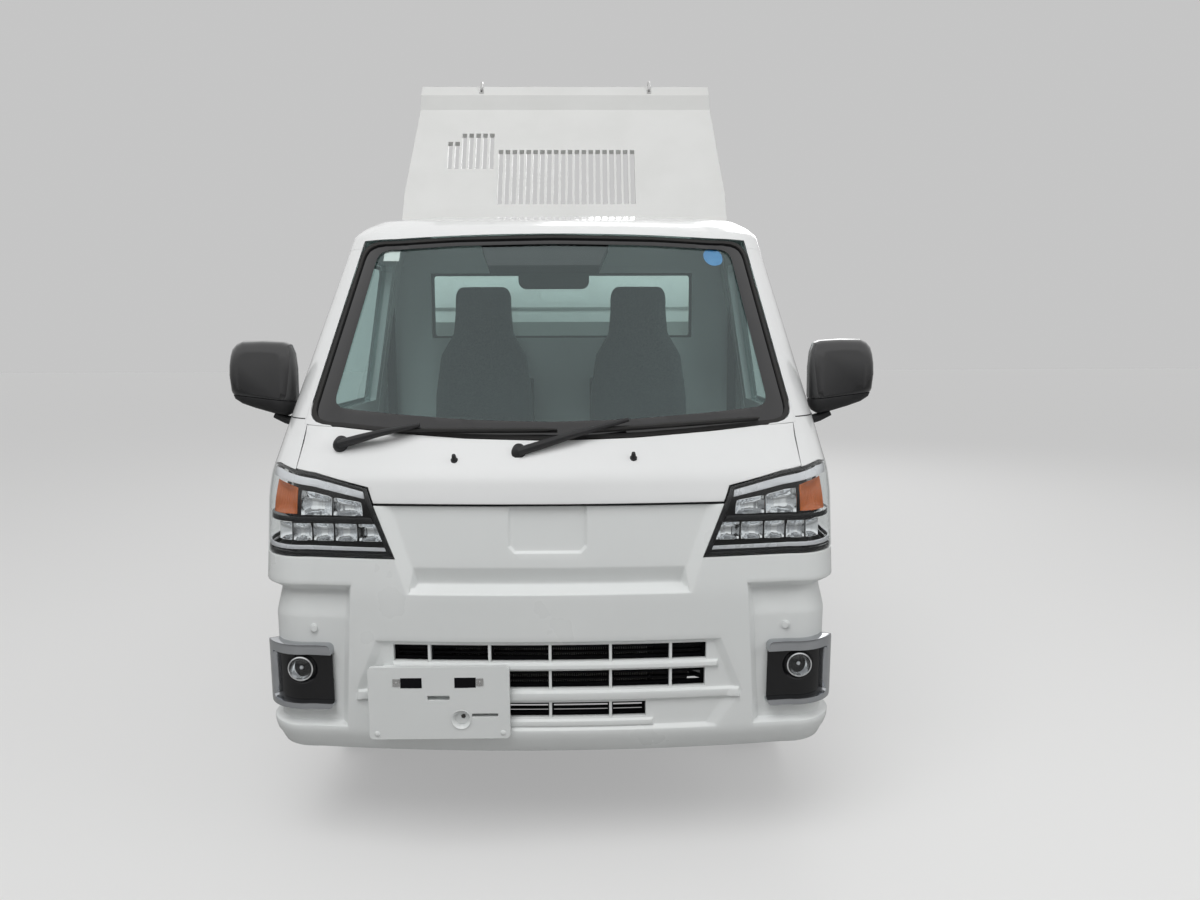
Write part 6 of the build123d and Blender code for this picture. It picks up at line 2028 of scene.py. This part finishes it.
for x in (-392, 392):
    bend = [(x, HOOD_LIP + far, HOOD_CREST + up) for far, up in HOOD_HOOK]
    ties.append((add_tube, bend, 6.2, 10, 1.0, (1, 0, 0)))
    ties.append((add_block, x - 10, x + 10, HOOD_LIP - 4, HOOD_LIP + 2, HOOD_CREST - 40, HOOD_CREST - 20))
build("hood_hooks", bright_steel, "rod_chrome", *ties, (tip_all,), body="bed", bevel=1)
print("bed trim is in")

# %% [markdown]
# ## Rear lamps and plate lamp
#
# Each lamp is a black housing with three lenses in a row: indicator, stop lamp and reversing lamp.
# A lens is a shallow box with strongly rounded edges and fine ribs inside. The plate holder
# between them stays bare, with a small lamp over it.

# %% Rear lamps
LENSES = [(485, 553, lamp_orange, "lamp_orange"), (557, 633, lamp_red, "lamp_red"),
          (637, 678, lamp_clear, "lamp_clear")]
BULB_BOWL = [(0, -4), (22, -4), (20, 2), (12, 5), (0, 6)]


def add_lamp_box(bm, side, inner, outer, low, high, radius, y0, y1):
    """Rounded box of a rear lamp between two distances from the middle."""
    add_prism(bm, rounded(*sorted((side * inner, side * outer)), low, high, radius), "Y", y0, y1)


for side, suffix in SIDES:
    build("lamp_frame_" + suffix, black_plastic, "black_trim",
          (add_lamp_box, side, 474, 688, 349, 425, 9, 3258, 3264), bevel=2)
    for inner, outer, material, label in LENSES:
        build("rear_%s_%s" % (label, suffix), material, "lamp_red",
              (add_lamp_box, side, inner, outer, 356, 418, 8, 3262, 3276), bevel=5, segments=3)
    build("reverse_bowl_" + suffix, chrome, "rod_chrome",
          (add_lathe, BULB_BOWL, (side * 657, 3264, 387), ALONG, 24))
build("plate_lamp", black_plastic, "black_trim", (add_block, -46, 46, 3222, 3252, 421, 438), bevel=4)
holder_spots = [((x, 3226, 372), ALONG) for x in (-105, 105)]
hang(bolts_at("plate_holder_bolts", holder_spots, 10, bright_steel), "chassis", "rod_chrome")
print("rear lamps are in")

# %% [markdown]
# ## Below the floor
#
# From the side and from below the frame shows between cab and bed. What makes it look built and
# not cast is its fastening: bolts along the cab pads, spring hangers and cross members, U bolts
# over the axle, and the fins of the radiator behind the grille. One cloud of points with directions
# holds every bolt, and the tree turns each head the right way.

# %% Chassis bolts
RAIL_FACE = 365.4
rail_spots = []
for side in (1, -1):
    places = [(station, z) for station in (212, 620, 2180, 2900, 3183) for z in (412, 442)]
    places += [(station + shift, 462) for station in (300, 520) for shift in (-16, 16)]
    rail_spots += [((side * RAIL_FACE, *spot), (side, 0, 0)) for spot in places]
hang(bolts_at("chassis_bolts", rail_spots, 13, bright_steel), "chassis", "rod_chrome")
u_bolts = []
for side in (1, -1):
    for station in (2615, 2675):
        for x in (side * 382, side * 438):
            u_bolts.append((add_tube, [(x, station, z) for z in (226, 300, 322)], 6, 8, 1.0, ALONG))
build("spring_u_bolts", chassis_black, "frame_black", *u_bolts, sharp=60)
print("chassis bolts", len(rail_spots))

# %% [markdown]
# ## Radiator behind the grille
#
# Dark slots would look painted on without depth behind them. A core of thin upright tubes between
# two tanks stands behind the grille, and a row tree sets its tubes side by side.

# %% Radiator
CORE_HALF, CORE_FRONT, CORE_REAR, CORE_LOW, CORE_HIGH = 255, 128, 156, 402, 600
TUBE_STEP = 6.0
tube_shape = add_block(bmesh.new(), -CORE_HALF, -CORE_HALF + 2.4, CORE_FRONT + 4, CORE_REAR - 4, CORE_LOW,
                       CORE_HIGH)
tube_count = int(2 * CORE_HALF / TUBE_STEP)
radiator_tubes = row_of("radiator_tubes", tube_shape, tube_count, (TUBE_STEP, 0, 0), cast_alloy)
hang(radiator_tubes, "chassis", "power_cast")
tanks = []
for low, high in ((CORE_LOW - 26, CORE_LOW + 2), (CORE_HIGH - 2, CORE_HIGH + 30)):
    tanks.append((add_block, -CORE_HALF - 14, CORE_HALF + 14, CORE_FRONT - 6, CORE_REAR + 8, low, high))
for side in (1, -1):
    ends = sorted((side * CORE_HALF, side * (CORE_HALF + 12)))
    tanks.append((add_block, *ends, CORE_FRONT, CORE_REAR, CORE_LOW, CORE_HIGH))
build("radiator_tanks", chassis_black, "frame_black", *tanks, bevel=5)
print("radiator tubes", tube_count)

# %% [markdown]
# ## Rear window and cab back
#
# The rear pane sits in a thick rubber profile. Below it the wall carries the cab's air outlet. Both
# are small, but the back of the cab stands open to view under the raised bed.

# %% Rear window rubber and outlets
WINDOW_HALF, WINDOW_LOW, WINDOW_HIGH = 500, 1330, 1575


def add_ring(bm, outer, inner, y0, y1):
    """Ring between two outlines with the same number of points, carried along the truck."""
    loops = []
    for outline, y in ((outer, y0), (outer, y1), (inner, y1), (inner, y0)):
        loops.append([bm.verts.new((x, y, z)) for x, z in outline])
    bridge(bm, loops + loops[:1])


def pane_edge(grow, radius):
    """Outline of the rear pane, grown by a margin."""
    return rounded(-WINDOW_HALF - grow, WINDOW_HALF + grow, WINDOW_LOW - grow, WINDOW_HIGH + grow, radius)


build("rear_window_rubber", rubber, "black_trim",
      (add_ring, pane_edge(9, 16), pane_edge(-8, 10), CAB_REAR - 24, CAB_REAR + 3.5), bevel=2)
outlet = add_prism(bmesh.new(), [(-66, 0), (66, 0), (62, 5), (-62, 5)], "Z", 0, 3.2)
for vert in outlet.verts:
    vert.co = vert.co + Vector((-560, CAB_REAR + 1.4, 640))
hang(row_of("air_outlet_left", outlet, 9, (0, 0, 11), black_plastic), "chassis", "black_trim")
outlet_edges = rounded(-634, -486, 628, 744, 8), rounded(-626, -494, 636, 736, 5)
build("air_outlet_frame", black_plastic, "black_trim",
      (add_ring, *outlet_edges, CAB_REAR - 2, CAB_REAR + 6), bevel=1)

# %% [markdown]
# ## Belts and the things on the dashboard
#
# Seen through the glass: the belts hang from the rear pillars, the dashboard has its hood over the
# instruments, round air vents at both ends, a plain screen panel in the middle and a lid in front
# of the passenger. All stay blank.

# %% Belts, hood, vents and dashboard panels
BELT = [(648, 1262, 1500), (650, 1266, 1250), (652, 1270, 980), (652, 1272, 760)]
belts = []
for side in (1, -1):
    line = [(side * x, y, z) for x, y, z in BELT]
    belts.append((add_tube, line, 24, 4, 0.06, ALONG))
    belts.append((add_tube, [(side * 652, 1258, 1470), (side * 648, 1250, 1520)], 22, 8, 0.4, ALONG))
build("belts", belt_web, "seat_cloth", *belts, sharp=50)
HOOD = [(300, 1050), (470, 1046), (506, 1010), (512, 1016), (486, 1068), (430, 1084), (330, 1082),
        (296, 1064)]
build("instrument_hood", dash_grey, "dash_grey", (add_prism, HOOD, "X", -436, -134), bevel=7, segments=3)
build("screen_panel", gloss_black, "gloss_black",
      (add_prism, rounded(-86, 86, 872, 1006, 10), "Y", 470, 512), bevel=3)
build("glove_lid", dash_grey, "dash_grey",
      (add_prism, rounded(118, 560, 800, 905, 16), "Y", 470, 503), bevel=6)
VENT = [(30, 0), (34, 2), (40, -6), (46, -4), (46, 20), (30, 20)]
for side, suffix in SIDES:
    x = side * 585
    build("vent_ring_" + suffix, black_plastic, "black_trim", (add_lathe, VENT, (x, 498, 962), ALONG, 36))
    blade = add_block(bmesh.new(), x - 31, x + 31, 494, 506, 936, 937.8)
    hang(row_of("vent_blades_" + suffix, blade, 6, (0, 0, 10), black_plastic), "chassis", "black_trim")
build("gear_lever", black_plastic, "black_trim",
      (add_tube, [(20, 500, 800), (24, 560, 842), (26, 590, 872)], [9, 8, 8], 10),
      (add_lathe, [(0, 34), (15, 28), (20, 14), (17, 0), (10, -6), (0, -6)], (26, 590, 872), (0, 0.4, 1), 24),
      sharp=50)
print("cab back, belts and dashboard panels are in")
